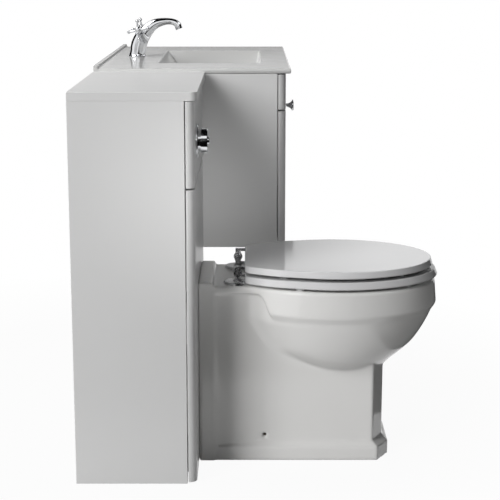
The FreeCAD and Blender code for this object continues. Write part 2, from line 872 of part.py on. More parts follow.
# Flush control: chrome flange with a barrel through the fascia, back nut and two concentric buttons
control = (control_x, f"-({wc_face})", "control_height")
flange = turned("flush_flange", [
    ("barrel_bore", "-board - barrel_tail"),
    ("barrel_radius", "-board - barrel_tail"),
    ("barrel_radius", "0"),
    ("control_flange_radius", "0"),
    ("control_flange_radius", "control_flange_thick - button_chamfer"),
    ("control_flange_radius - button_chamfer", "control_flange_thick"),
    ("control_collar_radius", "control_flange_thick"),
    ("control_collar_radius", "control_collar_rise"),
    ("barrel_bore", "control_collar_rise"),
])
keep(face_front(flange, control), "flush_flange")
back_nut = turned("flush_back_nut", [
    ("barrel_radius", "-board - nut_thick"),
    ("nut_radius", "-board - nut_thick"),
    ("nut_radius", "-board"),
    ("barrel_radius", "-board"),
])
keep(face_front(back_nut, control), "flush_back_nut")
guide = "barrel_bore - running_fit"
skirt_bore = "control_collar_radius + button_skirt_gap"
full_button = turned("flush_full_button", [
    ("half_radius + running_fit", "-barrel_tail"),
    (guide, "-barrel_tail"),
    (guide, "button_front - button_face"),
    (skirt_bore, "button_front - button_face"),
    (skirt_bore, "button_skirt_foot"),
    ("button_radius", "button_skirt_foot"),
    ("button_radius", "button_front - button_chamfer"),
    ("button_radius - button_chamfer", "button_front"),
    ("half_radius + running_fit", "button_front"),
])
keep(face_front(full_button, control), "flush_full_button")
half_button = turned("flush_half_button", [
    ("0", "-board"),
    ("half_radius", "-board"),
    ("half_radius", "half_front - button_chamfer"),
    ("half_radius - button_chamfer", "half_front"),
    ("0", "half_front"),
])
keep(face_front(half_button, control), "flush_half_button")


# Toilet pan
def level_face(points, height):
    """Flat polygon, mirrored about the pan's middle line, from points of half width and reach."""
    right = [spot(across, reach, height) for across, reach in points]
    left = [spot(-across, reach, height) for across, reach in reversed(points)]
    corners = right + left
    return Part.Face(Part.makePolygon(corners + corners[:1]))


def level_oval(centre, reach, half_width, height):
    """Ellipse in plan, longer along the reach than across."""
    middle = spot(0, centre, height)
    oval = Part.Ellipse(spot(0, centre + reach, height), spot(half_width, centre, height), middle)
    return Part.Wire([oval.toShape()])


def chamfered(half_width, front, depth, width):
    """Half outline of a front with cut corners, from the back to the middle of the front."""
    return [(half_width, 0), (half_width, front - depth), (half_width - width, front)]


def flared_outline(oval_place, neck, flare, height):
    """Oval front whose sides sweep back, through hollow curves, into two straight sides, in plan."""
    centre, reach, half_width, back = oval_place
    oval = Part.Ellipse(spot(0, centre + reach, height), spot(half_width, centre, height),
                        spot(0, centre, height))
    ring = oval.toShape()
    near = centre
    far = centre - reach - flare
    for _ in range(flare_halvings):
        sweep = (near + far) / 2
        middle = spot(neck + flare, sweep, height)
        gap, touch, _ = ring.distToShape(Part.Vertex(middle))
        if gap > flare:
            far = sweep
        else:
            near = sweep
    touch = touch[0][0]
    edges = []
    for hand in (1, -1):
        hollow = spot(hand * (neck + flare), sweep, height)
        meet = Vector(2 * pan_x - touch.x, touch.y, height) if hand < 0 else touch
        side = spot(hand * neck, sweep, height)
        bend = ((meet - hollow) + (side - hollow)).normalize() * flare
        edges.append(Part.Arc(meet, hollow + bend, side).toShape())
        edges.append(Part.LineSegment(side, spot(hand * neck, back, height)).toShape())
    start = oval.parameter(Vector(2 * pan_x - touch.x, touch.y, height))
    front = Part.ArcOfEllipse(oval, start, oval.parameter(touch) + 2 * math.pi).toShape()
    rear = Part.LineSegment(spot(neck, back, height), spot(-neck, back, height)).toShape()
    return Part.Wire([front, edges[0], edges[1], rear, edges[3], edges[2]])


def bowl_outline(shares):
    """Outline of the bowl's outside at one of its levels."""
    rise, shift, reach, wide, flare = shares
    half_width = at.bowl_half_width * wide
    neck = min(at.neck_half_width, half_width * neck_share)
    place = (at.rim_centre + at.bowl_reach * shift, at.bowl_reach * reach, half_width, at.neck_back)
    return flared_outline(place, neck, at.bowl_flare * flare,
                          at.bowl_foot + (at.bowl_top - at.bowl_foot) * rise)


def rim_solid():
    """Band round the bowl: an oval that flares out of the straight deck, thinner along the deck."""
    foot = flared_outline((at.rim_centre, at.rim_reach, at.rim_half_width, 0),
                          at.deck_half_width, at.rim_flare, at.rim_low)
    head = flared_outline((at.rim_centre, at.rim_reach - at.rim_draft, at.rim_half_width - at.rim_draft, 0),
                          at.deck_half_width, at.rim_flare, at.rim_top)
    band = Part.makeLoft([foot, head], True, True)
    crown = [edge for edge in band.Edges if edge.BoundBox.ZMin > at.rim_top - at.rim_round
             and -edge.BoundBox.YMin - pan_back > at.overrun]
    band = band.makeFillet(at.rim_round, crown)
    band = band.fuse(Part.makeLoft([bowl_outline(bowl_shares[0]), foot], True, True))
    low = at.bowl_top - at.overrun
    wide = at.rim_half_width + at.overrun
    middle = at.lip_front + at.lip_run / 2
    lip_end = at.lip_front + at.lip_run
    rise = Part.BSplineCurve()
    rise.buildFromPolesMultsKnots(
        [spot(-wide, at.lip_front, at.lip_low), spot(-wide, middle, at.lip_low),
         spot(-wide, middle, at.bowl_top), spot(-wide, lip_end, at.bowl_top)],
        [4, 4], [0, 1], False, 3)
    back = spot(-wide, -at.overrun, at.lip_low)
    corners = [spot(-wide, lip_end, low), spot(-wide, -at.overrun, low), back]
    sides = [Part.LineSegment(a, b).toShape() for a, b in zip(
        [rise.EndPoint] + corners, corners + [rise.StartPoint])]
    under = Part.Face(Part.Wire([rise.toShape()] + sides)).extrude(Vector(2 * wide, 0, 0))
    return band.cut(under)


# Bowl sections from the rim down: shares of the height, of the reach by which the middle moves forward, of
# the reach, of the half width and of the flare
bowl_shares = (
    (1, 0, 1, 1, 1), (0.844, 0, 0.96, 0.971, 0.98), (0.695, 0, 0.912, 0.936, 0.91),
    (0.461, 0, 0.8175, 0.867, 0.73), (0.289, 0.023, 0.686, 0.792, 0.46), (0.156, 0.051, 0.561, 0.699, 0.2),
    (0.062, 0.074, 0.486, 0.604, 0.11), (0, 0.083, 0.435, 0.532, 0.1),
)
# Half width of the bowl's neck as a share of a section narrower than the body, and steps to find a flare
neck_share = 0.93
flare_halvings = 40
# Well inside the bowl: share of the depth, of the reach and of the half width
well_shares = (
    (1, 1, 1), (0.72, 1.06, 1.08), (0.48, 1.0, 1.02), (0.26, 0.86, 0.85), (0.09, 0.66, 0.6), (0, 0.46, 0.34),
)


def toilet_pan():
    """Glazed pan: plinth, pedestal, deck body, bowl, rim band and ridge, hollow from below and behind."""
    plinth_outline = chamfered(
        at.plinth_half_width, at.plinth_front, at.plinth_chamfer_depth, at.plinth_chamfer_width)
    pedestal_outline = chamfered(
        at.pedestal_half_width, at.pedestal_front, at.pedestal_chamfer_depth, at.pedestal_chamfer_width)
    plinth = level_face(plinth_outline, 0).extrude(Vector(0, 0, at.plinth_height))
    cove_foot = level_face(plinth_outline, at.plinth_height).OuterWire
    cove_head = level_face(pedestal_outline, at.plinth_height + at.cove_height).OuterWire
    cove = Part.makeLoft([cove_foot, cove_head], True, True)
    pedestal = level_face(pedestal_outline, 0).extrude(Vector(0, 0, at.pedestal_top))
    neck_top = (at.lip_low + at.rim_top) / 2
    side = [(at.pilaster_half_width, 0), (at.pilaster_half_width, at.pilaster_front),
            (at.panel_half_width, at.pilaster_front + at.pilaster_slope),
            (at.pedestal_half_width, at.side_hole_reach), (at.pedestal_half_width, at.body_front)]
    body = level_face(side, 0).extrude(Vector(0, 0, neck_top))
    bowl = Part.makeLoft([bowl_outline(shares) for shares in bowl_shares], True, False)
    neck = Part.Face(bowl_outline(bowl_shares[0])).extrude(Vector(0, 0, neck_top - at.bowl_top))
    ridge = Part.makeBox(2 * at.ridge_half_width, at.ridge_front, at.ridge_top - at.lip_low,
                         spot(-at.ridge_half_width, at.ridge_front, at.lip_low))
    ridge = ridge.makeFillet(at.ridge_round, [
        edge for edge in ridge.Edges if edge.BoundBox.ZMin > at.ridge_top - at.ridge_round])
    outer = body.multiFuse([plinth, cove, pedestal, bowl, neck, rim_solid(), ridge])

    chamber_half = at.pedestal_half_width - at.pan_wall
    front_end = at.pedestal_front - at.pedestal_chamfer_depth
    front_room = Part.makeBox(2 * chamber_half, front_end + at.overrun,
                              at.well_floor - at.sump_thick + at.overrun,
                              spot(-chamber_half, front_end, -at.overrun))
    back_room = Part.makeBox(2 * chamber_half, at.chamber_front + at.overrun,
                             at.rim_top - at.deck_thick + at.overrun,
                             spot(-chamber_half, at.chamber_front, -at.overrun))
    shell = outer.cut([front_room, back_room])

    corners = [(at.trap_start_reach, at.trap_start_height), (at.weir_reach, at.weir_height),
               (at.trap_drop_reach, at.soil_height), (0, at.soil_height)]
    route = bent_path([spot(0, reach, rise) for reach, rise in corners], at.trap_bend)
    horn = Part.makeCylinder(at.horn_radius, at.connector_lap, spot(0, 0, at.soil_height), Vector(0, -1, 0))
    spud_length = at.chamber_front + at.pan_wall
    spud = Part.makeCylinder(at.cone_radius + at.trap_wall, spud_length,
                             spot(0, 0, at.inlet_height), Vector(0, -1, 0))
    shell = shell.multiFuse([bar_along(route, at.trap_radius), horn, spud])

    depth = at.rim_top - at.well_floor
    well = Part.makeLoft([
        level_oval(at.well_centre, at.well_reach * reach, at.well_half_width * wide,
                   at.well_floor + depth * rise)
        for rise, reach, wide in well_shares], True, False)
    mouth = Part.Face(level_oval(at.well_centre, at.well_reach, at.well_half_width, at.rim_top)).extrude(
        Vector(0, 0, at.overrun))
    inlet = Part.makeCylinder(at.cone_radius, at.inlet_depth + at.overrun,
                              spot(0, -at.overrun, at.inlet_height), Vector(0, -1, 0))
    jet = Part.makeCylinder(at.pipe_radius, at.well_centre,
                            spot(0, 0, at.inlet_height), Vector(0, -1, 0))
    holes = [well, mouth, inlet, jet, bar_along(route, at.trap_radius - at.trap_wall)]
    for hand in (-1, 1):
        outside = spot(hand * (at.pilaster_half_width + at.overrun), at.side_hole_reach, at.side_hole_height)
        sunk = at.pilaster_half_width + at.overrun - chamber_half - at.side_lip
        holes.append(Part.makeCylinder(at.side_hole_radius, sunk, outside, Vector(-hand, 0, 0)))
        holes.append(Part.makeCylinder(at.side_screw_radius + at.side_screw_clearance,
                                       sunk + at.side_lip + at.overrun, outside, Vector(-hand, 0, 0)))
        stud = spot(hand * at.hinge_half_spacing, at.hinge_reach, at.rim_top - at.deck_thick - at.overrun)
        holes.append(Part.makeCylinder(at.hinge_stud_hole, at.deck_thick + 2 * at.overrun, stud))
    return shell.cut(holes)


feature("toilet_pan", toilet_pan())

# Floor brackets inside the pedestal, with the side screws that hold the pan to them
pan_inside = "pedestal_half_width - pan_wall"
bracket_middle = f"{wc_face} + side_hole_reach"
feet = []
screws = []
for hand, sign in ((1, "+"), (-1, "-")):
    name = f"pan_floor_bracket_{'right' if hand > 0 else 'left'}"
    body = new_body(name)
    sketch = new_sketch(body, f"{name}_end", "XZ_Plane", f"{bracket_middle} - floor_bracket_width / 2")
    wall = f"{wc_middle} {sign} ({pan_inside})"
    back = "-" if hand > 0 else "+"
    outline(sketch, [
        (wall, "0"),
        (wall, "floor_bracket_height"),
        (f"{wall} {back} floor_bracket_thick", "floor_bracket_height"),
        (f"{wall} {back} floor_bracket_thick", "floor_bracket_thick"),
        (f"{wall} {back} floor_bracket_foot", "floor_bracket_thick"),
        (f"{wall} {back} floor_bracket_foot", "0"),
    ])
    pad(body, sketch, "floor_bracket_width")
    screw = new_sketch(body, f"{name}_hole", "XY_Plane")
    pocket(body, circles(screw, [
        (f"{wall} {back} floor_bracket_foot / 2", f"-({bracket_middle})", "floor_screw_radius")]))
    feet.append(body)
    screw = turned(f"pan_side_screw_{'right' if hand > 0 else 'left'}", [
        ("0", "0"),
        ("side_screw_head", "0"),
        ("side_screw_head", "-side_screw_head_thick"),
        ("side_screw_radius", "-side_screw_head_thick"),
        ("side_screw_radius", "-side_screw_head_thick - side_lip - side_screw_tail"),
        ("0", "-side_screw_head_thick - side_lip - side_screw_tail"),
    ])
    screw.Placement = Placement(Vector(), Rotation(Vector(0, 0, 1), Vector(hand, 0, 0)))
    head = f"{wall} {sign} (side_lip + side_screw_head_thick)"
    place(screw, (head, f"-({bracket_middle})", "side_hole_height"))
    screws.append(screw)
group("pan_side_screws", *screws)
feet = [cut(f"pan_floor_bracket_{number}", foot, screw)
        for number, (foot, screw) in enumerate(zip(feet, screws))]
group("pan_floor_brackets", *feet)


# Seat and lid
# Sides of seat and lid: share of the way to the back edge and share of the half width
side_shares = ((0.42, 0.925), (0.74, 0.815))


def seat_outline(reach, half_width, height):
    """Oval front on a squarer back with round corners, in plan."""
    front = spot(0, at.seat_centre + reach, height)
    widest = spot(half_width, at.seat_centre, height)
    across = spot(-half_width, at.seat_centre, height)
    oval = Part.Ellipse(front, widest, spot(0, at.seat_centre, height))
    edges = [Part.ArcOfEllipse(oval, oval.parameter(across), oval.parameter(widest) + 2 * math.pi).toShape()]
    run = at.seat_centre - at.seat_back
    for hand in (1, -1):
        places = [spot(hand * half_width, at.seat_centre, height)]
        places += [spot(hand * half_width * wide, at.seat_centre - run * back, height)
                   for back, wide in side_shares]
        back_half = at.seat_back_half_width * half_width / at.seat_half_width
        places += [spot(hand * back_half, at.seat_back, height)]
        side = Part.BSplineCurve()
        side.interpolate(places, InitialTangent=Vector(0, 1, 0), FinalTangent=places[-1] - places[-2])
        edges.append(side.toShape())
        if hand > 0:
            corner = places[-1]
    edges.append(Part.LineSegment(corner, places[-1]).toShape())
    return Part.Wire(Part.sortEdges(edges)[0])


def seat_plate(reach, half_width, low, thick, draft):
    """Flat plate of the seat's outline, narrower at the top, with its two back corners rounded."""
    plate = Part.makeLoft([seat_outline(reach, half_width, low),
                           seat_outline(reach - draft, half_width - draft, low + thick)], True, True)
    corners = [edge for edge in plate.Edges if edge.BoundBox.ZLength > thick / 2
               and -edge.BoundBox.YMax - pan_back < at.seat_back + at.seat_corner_round]
    return plate.makeFillet(at.seat_corner_round, corners)


def hinge_sides():
    """Signs of the two hinges about the pan's middle line."""
    return (-1, 1)


def tongue_box(hand, edge, middle):
    """Flat tongue of a hinge arm, from the pivot into the back edge of the seat or lid."""
    near = at.hinge_half_spacing + edge * (at.arm_offset + (at.arm_width if edge < 0 else 0))
    left = near if hand > 0 else -near - at.arm_width
    return Part.makeBox(at.arm_width, at.seat_back + at.tongue_depth - at.hinge_reach, at.tongue_thick,
                        spot(left, at.seat_back + at.tongue_depth, middle - at.tongue_thick / 2))


seat_middle = at.seat_low + at.seat_thick / 2
lid_middle = at.lid_low + at.lid_height / 2


def toilet_seat():
    """Ring with sloping sides, rounded edges and two slots for the hinge tongues."""
    ring = seat_plate(at.seat_reach, at.seat_half_width, at.seat_low, at.seat_thick, at.seat_draft)
    hole = Part.Face(level_oval(at.seat_hole_centre, at.seat_hole_reach, at.seat_hole_half_width,
                                at.seat_low - at.overrun))
    hole = hole.extrude(Vector(0, 0, at.seat_thick + 2 * at.overrun))
    ring = ring.cut(hole)
    flat = [edge for edge in ring.Edges if edge.BoundBox.ZLength < at.rest_gap]
    ring = ring.makeFillet(at.seat_round, flat)
    return ring.cut([tongue_box(hand, -1, seat_middle) for hand in hinge_sides()])


def toilet_lid():
    """Plain oval cover with sloping sides, rounded edges and two slots for the hinge tongues."""
    cover = seat_plate(at.lid_reach, at.lid_half_width, at.lid_low, at.lid_height, at.lid_draft)
    flat = [edge for edge in cover.Edges if edge.BoundBox.ZLength < at.rest_gap]
    cover = cover.makeFillet(at.lid_round, flat)
    return cover.cut([tongue_box(hand, 1, lid_middle) for hand in hinge_sides()])


feature("toilet_seat", toilet_seat())
feature("toilet_lid", toilet_lid())


def buffers(name, low, height, places):
    """Small round rubber feet under the seat or lid, as one sub-part."""
    feet = []
    for number, (across, reach) in enumerate(places):
        for tag, sign in (("left", "-"), ("right", "+")):
            base = (f"{wc_middle} {sign} {across}", f"-({wc_face} + {reach})", low)
            feet.append(rod(f"{name}_{number}_{tag}", base, "buffer_radius", height))
    group(name, *feet)


buffers("seat_buffers", "rim_top + rest_gap", "seat_low - rim_top - rest_gap", (
    ("seat_buffer_back_offset", "seat_buffer_back_reach"),
    ("seat_buffer_front_offset", "seat_buffer_front_reach"),
))
buffers("lid_buffers", "seat_low + seat_thick + rest_gap", "lid_low - seat_low - seat_thick - rest_gap", (
    ("lid_buffer_back_offset", "lid_buffer_back_reach"),
    ("lid_buffer_front_offset", "lid_buffer_front_reach"),
))

# Hinges: flange on the deck, post with a ball knuckle, pin, nut under the deck, and arms of seat and lid
axis_rise = "hinge_rise"
hinge_y = f"-({wc_face} + hinge_reach)"
ball_foot = "sqrt(hinge_ball_radius ^ 2 - hinge_neck_radius ^ 2)"
flanges = []
posts = []
nuts = []
seat_arms = []
lid_arms = []
for hand, sign in ((-1, "-"), (1, "+")):
    tag = "left" if hand < 0 else "right"
    middle = f"{wc_middle} {sign} hinge_half_spacing"
    base = (middle, hinge_y, "rim_top")
    disc = turned(f"hinge_flange_{tag}", [
        ("hinge_stud_radius", "0"),
        ("hinge_flange_radius", "0"),
        ("hinge_flange_radius", "hinge_flange_thick - hinge_flange_chamfer"),
        ("hinge_flange_radius - hinge_flange_chamfer", "hinge_flange_thick"),
        ("hinge_stud_radius", "hinge_flange_thick"),
    ])
    flanges.append(place(disc, base))
    post = turned(f"hinge_post_{tag}", [
        ("0", "-hinge_stud_drop"),
        ("hinge_stud_radius", "-hinge_stud_drop"),
        ("hinge_stud_radius", "hinge_flange_thick"),
        ("hinge_collar_radius", "hinge_flange_thick"),
        ("hinge_collar_radius", "hinge_flange_thick + hinge_collar_rise / 2"),
        ("hinge_neck_radius", "hinge_flange_thick + hinge_collar_rise"),
        ("hinge_neck_radius", f"{axis_rise} - {ball_foot}"),
        ("0", f"{axis_rise} + hinge_ball_radius", "hinge_ball_radius", axis_rise),
    ])
    place(post, base)
    ends = f"{middle} - hinge_pin_length / 2"
    hinge_pin = rod(f"hinge_pin_{tag}", (ends, hinge_y, "hinge_axis"),
                    "hinge_pin_radius", "hinge_pin_length", Vector(1, 0, 0))
    posts.append(fuse(f"hinge_post_{tag}", post, hinge_pin))
    nut = turned(f"hinge_nut_{tag}", [
        ("hinge_stud_radius", "-deck_thick - hinge_nut_thick"),
        ("hinge_nut_radius", "-deck_thick - hinge_nut_thick"),
        ("hinge_nut_radius", "-deck_thick"),
        ("hinge_stud_radius", "-deck_thick"),
    ])
    nuts.append(place(nut, base))
    bore_start = spot(hand * at.hinge_half_spacing - at.hinge_pin_length / 2, at.hinge_reach, at.hinge_axis)
    bore = Part.makeCylinder(at.hinge_pin_radius + at.running_fit, at.hinge_pin_length,
                             bore_start, Vector(1, 0, 0))
    for edge, level, arms in ((-1, seat_middle, seat_arms), (1, lid_middle, lid_arms)):
        near = at.hinge_half_spacing + edge * (at.arm_offset + (at.arm_width if edge < 0 else 0))
        left = near if hand > 0 else -near - at.arm_width
        eye = Part.makeCylinder(at.arm_radius, at.arm_width,
                                spot(left, at.hinge_reach, at.hinge_axis), Vector(1, 0, 0))
        foot = min(level - at.tongue_thick / 2, at.hinge_axis)
        leg = Part.makeBox(at.arm_width, 2 * at.tongue_leg, abs(level - at.hinge_axis) + at.tongue_thick / 2,
                           spot(left, at.hinge_reach + at.tongue_leg, foot))
        arm = eye.multiFuse([leg, tongue_box(hand, edge, level)])
        arms.append(arm.cut(bore))
group("hinge_flanges", *flanges)
group("hinge_posts", *posts)
group("hinge_nuts", *nuts)
feature("seat_hinge_arms", Part.makeCompound(seat_arms))
feature("lid_hinge_arms", Part.makeCompound(lid_arms))

# Vanity unit: carcass, rails, fixed fascia and the hangers that carry it on the wall
vanity_front = "vanity_depth + front_gap"
vanity_face = "vanity_depth + front_gap + board"
vanity_height = "vanity_top - vanity_low"
inner_width = "vanity_width - 2 * board"
group("vanity_sides", *(block(f"vanity_side_{tag}", (left, "-vanity_depth", "vanity_low"),
                              ("board", "vanity_depth", vanity_height))
                        for tag, left in (("left", "0"), ("right", "vanity_width - board"))))
keep(block("vanity_bottom", ("board", "-vanity_depth", "vanity_low"),
           (inner_width, "vanity_depth", "board")), "vanity_bottom")
keep(block("vanity_back_rail", ("board", "-back_rail_setback - board", "vanity_top - back_rail_height"),
           (inner_width, "board", "back_rail_height")), "vanity_back_rail")
keep(block("vanity_front_rail", ("board", f"-({vanity_front})", "vanity_top - front_rail_height"),
           (inner_width, "board", "front_rail_height")), "vanity_front_rail")
front_panel("vanity_fascia", ("0", f"-({vanity_face})", "vanity_split + panel_gap / 2"),
            ("vanity_width", "board", "vanity_fascia_height - vanity_top_gap - panel_gap / 2"), "edge_round")
hangers = []
plates = []
hanger_places = (
    ("left", "board + hanger_inset"),
    ("right", "vanity_width - board - hanger_inset - hanger_width"),
)
for tag, left in hanger_places:
    hanger_low = "vanity_top - hanger_drop - hanger_height"
    hangers.append(block(f"vanity_hanger_{tag}", (left, "-back_rail_setback", hanger_low),
                         ("hanger_width", "back_rail_setback - hanger_plate_thick", "hanger_height")))
    body = new_body(f"vanity_wall_plate_{tag}")
    sketch = new_sketch(body, f"wall_plate_{tag}", "XZ_Plane")
    rectangle(sketch, left, f"{left} + hanger_width",
              f"{hanger_low} - hanger_plate_drop", "vanity_top - hanger_drop")
    pad(body, sketch, "hanger_plate_thick")
    screw = new_sketch(body, f"wall_plate_hole_{tag}", "XZ_Plane")
    pocket(body, circles(screw, [
        (f"{left} + hanger_width / 2", f"{hanger_low} - hanger_plate_drop / 2", "wall_screw_radius")]))
    plates.append(body)
group("vanity_hangers", *hangers)
group("vanity_wall_plates", *plates)

# Drawer: runners on the sides, slides on the box, front, sides, back, floor and knob
drawer_low = "vanity_low + board + drawer_clearance"
drawer_outer = "board + slide_gap"
runner_middle = f"{drawer_low} + drawer_side_height / 2"
box_back = f"{vanity_front} - drawer_length"
runners = []
slides = []
for tag, hand in (("left", 1), ("right", -1)):
    wall_x = "board" if hand > 0 else "vanity_width - board - runner_depth"
    groove_x = "board + runner_web" if hand > 0 else "vanity_width - board - runner_depth - overrun"
    slide_x = "board + runner_web + slide_fit" if hand > 0 else "vanity_width - board - slide_gap"
    groove_half = "runner_height / 2 - runner_web"
    channel = block(f"runner_skin_{tag}",
                    (wall_x, "-runner_start - runner_length", f"{runner_middle} - runner_height / 2"),
                    ("runner_depth", "runner_length", "runner_height"))
    groove = block(f"runner_groove_{tag}",
                   (groove_x, "-runner_start - runner_length - overrun",
                    f"{runner_middle} - ({groove_half})"),
                   ("runner_depth - runner_web + overrun", "runner_length + 2 * overrun",
                    f"2 * ({groove_half})"))
    runners.append(cut(f"runner_{tag}", channel, groove))
    slide_half = f"{groove_half} - slide_fit"
    slides.append(block(f"slide_{tag}",
                        (slide_x, "-runner_start - runner_length", f"{runner_middle} - ({slide_half})"),
                        ("slide_gap - runner_web - slide_fit", "slide_length", f"2 * ({slide_half})")))
group("drawer_runners", *runners)
group("drawer_slides", *slides)
drawer_front = front_panel("drawer_front", ("0", f"-({vanity_face})", "vanity_low"),
                           ("vanity_width", "board", "vanity_split - panel_gap / 2 - vanity_low"),
                           "edge_round")
knob_x = "vanity_width / 2"
knob_z = "vanity_split - panel_gap / 2 - knob_drop"
hole = new_sketch(drawer_front, "knob_hole", "XZ_Plane")
pocket(drawer_front, circles(hole, [(knob_x, knob_z, "knob_screw_radius")]))
drawer_corner = {"left": drawer_outer, "right": f"vanity_width - ({drawer_outer}) - drawer_board"}
group("drawer_sides", *(block(f"drawer_side_{tag}", (left, f"-({vanity_front})", drawer_low),
                              ("drawer_board", "drawer_length", "drawer_side_height"))
                        for tag, left in drawer_corner.items()))
box_left = f"{drawer_outer} + drawer_board"
box_inner = f"vanity_width - 2 * ({box_left})"
keep(block("drawer_back", (box_left, f"-({box_back}) - drawer_board", drawer_low),
           (box_inner, "drawer_board", "drawer_side_height")), "drawer_back")
keep(block("drawer_floor", (box_left, f"-({vanity_front})", f"{drawer_low} + drawer_floor_rise"),
           (box_inner, "drawer_length - drawer_board", "drawer_floor_thick")), "drawer_floor")
knob = turned("drawer_knob", [
    ("0", "0"),
    ("knob_base_radius", "0"),
    ("knob_base_radius", "knob_base_thick"),
    ("knob_neck_radius", "knob_length * knob_neck_share",
     "knob_foot_radius", "knob_length * knob_foot_share"),
    ("knob_radius", "knob_length - knob_rim_thick", "knob_flare_radius", "knob_length * knob_flare_share"),
    ("knob_radius", "knob_length - knob_rim_thick / 2"),
    ("knob_radius - knob_rim_thick / 2", "knob_length"),
    ("0", "knob_length"),
])
face_front(knob, (knob_x, f"-({vanity_face})", knob_z))
knob_screw = turned("knob_screw", [
    ("0", "-board - knob_screw_head_thick"),
    ("knob_screw_head", "-board - knob_screw_head_thick"),
    ("knob_screw_head", "-board"),
    ("knob_screw_radius", "-board"),
    ("knob_screw_radius", "knob_screw_grip"),
    ("0", "knob_screw_grip"),
])
keep(face_front(knob_screw, (knob_x, f"-({vanity_face})", knob_z)), "knob_screw")
keep(cut("drawer_knob", knob, knob_screw), "drawer_knob")

# Basin: slab with a sloping bowl, back upstand, tap hole and waste hole
basin_top = "vanity_top + basin_thick"
bowl_x = "vanity_width / 2"
bowl_y = "-bowl_back - bowl_width / 2"
basin = new_body("basin")
slab = new_sketch(basin, "basin_slab", "XY_Plane", "vanity_top")
rectangle(slab, "0", "vanity_width", "-basin_depth", "0")
pad(basin, slab, "basin_thick")
top_edges = value(basin_top)
round_edges(basin, "basin_round", lambda edge: edge.BoundBox.ZMin > top_edges - at.rest_gap
            and edge.BoundBox.YMin < -at.rest_gap)
upstand = new_sketch(basin, "basin_upstand", "XY_Plane", "vanity_top")
rectangle(upstand, "0", "vanity_width", "-upstand_thick", "0")
pad(basin, upstand, "basin_thick + upstand_height", tag="upstand")


def bowl_sketch(name, length, back, front, height):
    """Rectangle of the bowl at a height, between two distances from the wall."""
    sketch = new_sketch(basin, name, "XY_Plane", height)
    return rectangle(sketch, f"{bowl_x} - ({length}) / 2", f"{bowl_x} + ({length}) / 2",
                     f"-({front})", f"-({back})")


bowl_floor = f"{basin_top} - bowl_depth"
bowl_front = "bowl_back + bowl_width"
floor_back = "bowl_back + bowl_back_slope"
floor_front = f"{bowl_front} - bowl_front_slope"
shell = basin.newObject("PartDesign::AdditiveLoft", "basin_bowl_shell")
shell.Profile = bowl_sketch("bowl_shell_top", "bowl_length + 2 * bowl_wall", "bowl_back - bowl_wall",
                            f"{bowl_front} + bowl_wall", "vanity_top")
shell.Sections = [bowl_sketch("bowl_shell_foot", "bowl_floor_length + 2 * bowl_wall",
                              f"{floor_back} - bowl_wall", f"{floor_front} + bowl_wall",
                              f"{bowl_floor} - bowl_wall")]
shell.Ruled = True
doc.recompute()
hollow = basin.newObject("PartDesign::SubtractiveLoft", "basin_bowl")
hollow.Profile = bowl_sketch("bowl_mouth", "bowl_length", "bowl_back", bowl_front, basin_top)
hollow.Sections = [bowl_sketch("bowl_bottom", "bowl_floor_length", floor_back, floor_front, bowl_floor)]
hollow.Ruled = True
basin_holes = new_sketch(basin, "basin_holes", "XY_Plane", "vanity_top")
pocket(basin, circles(basin_holes, [
    (bowl_x, "-tap_reach", "tap_hole_radius"),
    (bowl_x, bowl_y, "waste_radius + waste_clearance"),
]), tag="holes")
keep(basin, "basin")

# Waste: flanged tube with a three-legged guide, lift-up plug and nut under the bowl
waste_tube = turned("waste_tube", [
    ("waste_bore", "-waste_length"),
    ("waste_radius", "-waste_length"),
    ("waste_radius", "0"),
    ("waste_flange_radius", "0"),
    ("waste_flange_radius", "waste_flange_thick"),
    ("waste_bore", "waste_flange_thick"),
])
hub_low = "-waste_hub_drop"
rib = new_sketch(waste_tube, "waste_ribs", "XY_Plane", hub_low)
rectangle(rib, "-waste_bore - waste_rib / 2", "waste_bore + waste_rib / 2", "-waste_rib / 2", "waste_rib / 2")
pad(waste_tube, rib, "waste_hub_height", tag="rib")
hub = new_sketch(waste_tube, "waste_hub", "XY_Plane", hub_low)
pad(waste_tube, circles(hub, [("0", "0", "waste_hub_radius")]), "waste_hub_height", tag="hub")
stem = new_sketch(waste_tube, "waste_stem_hole", "XY_Plane", hub_low)
pocket(waste_tube, circles(stem, [("0", "0", "plug_stem_radius + running_fit")]), tag="stem")
waste_place = (bowl_x, bowl_y, bowl_floor)
keep(place(waste_tube, waste_place), "basin_waste")
plug_low = "waste_flange_thick + rest_gap"
stopper = turned("waste_plug", [
    ("0", "-plug_stem_length"),
    ("plug_stem_radius", "-plug_stem_length"),
    ("plug_stem_radius", plug_low),
    ("plug_radius", plug_low),
    ("plug_radius", f"{plug_low} + plug_rise / 3"),
    ("dome_flat", f"{plug_low} + plug_rise",
     "plug_radius * dome_share", f"{plug_low} + plug_rise * dome_rise_share"),
    ("0", f"{plug_low} + plug_rise"),
])
keep(place(stopper, waste_place), "waste_plug")
under_nut = turned("waste_nut", [
    ("waste_radius", "-bowl_wall - waste_nut_thick"),
    ("waste_nut_radius", "-bowl_wall - waste_nut_thick"),
    ("waste_nut_radius", "-bowl_wall"),
    ("waste_radius", "-bowl_wall"),
])
keep(place(under_nut, waste_place), "waste_nut")

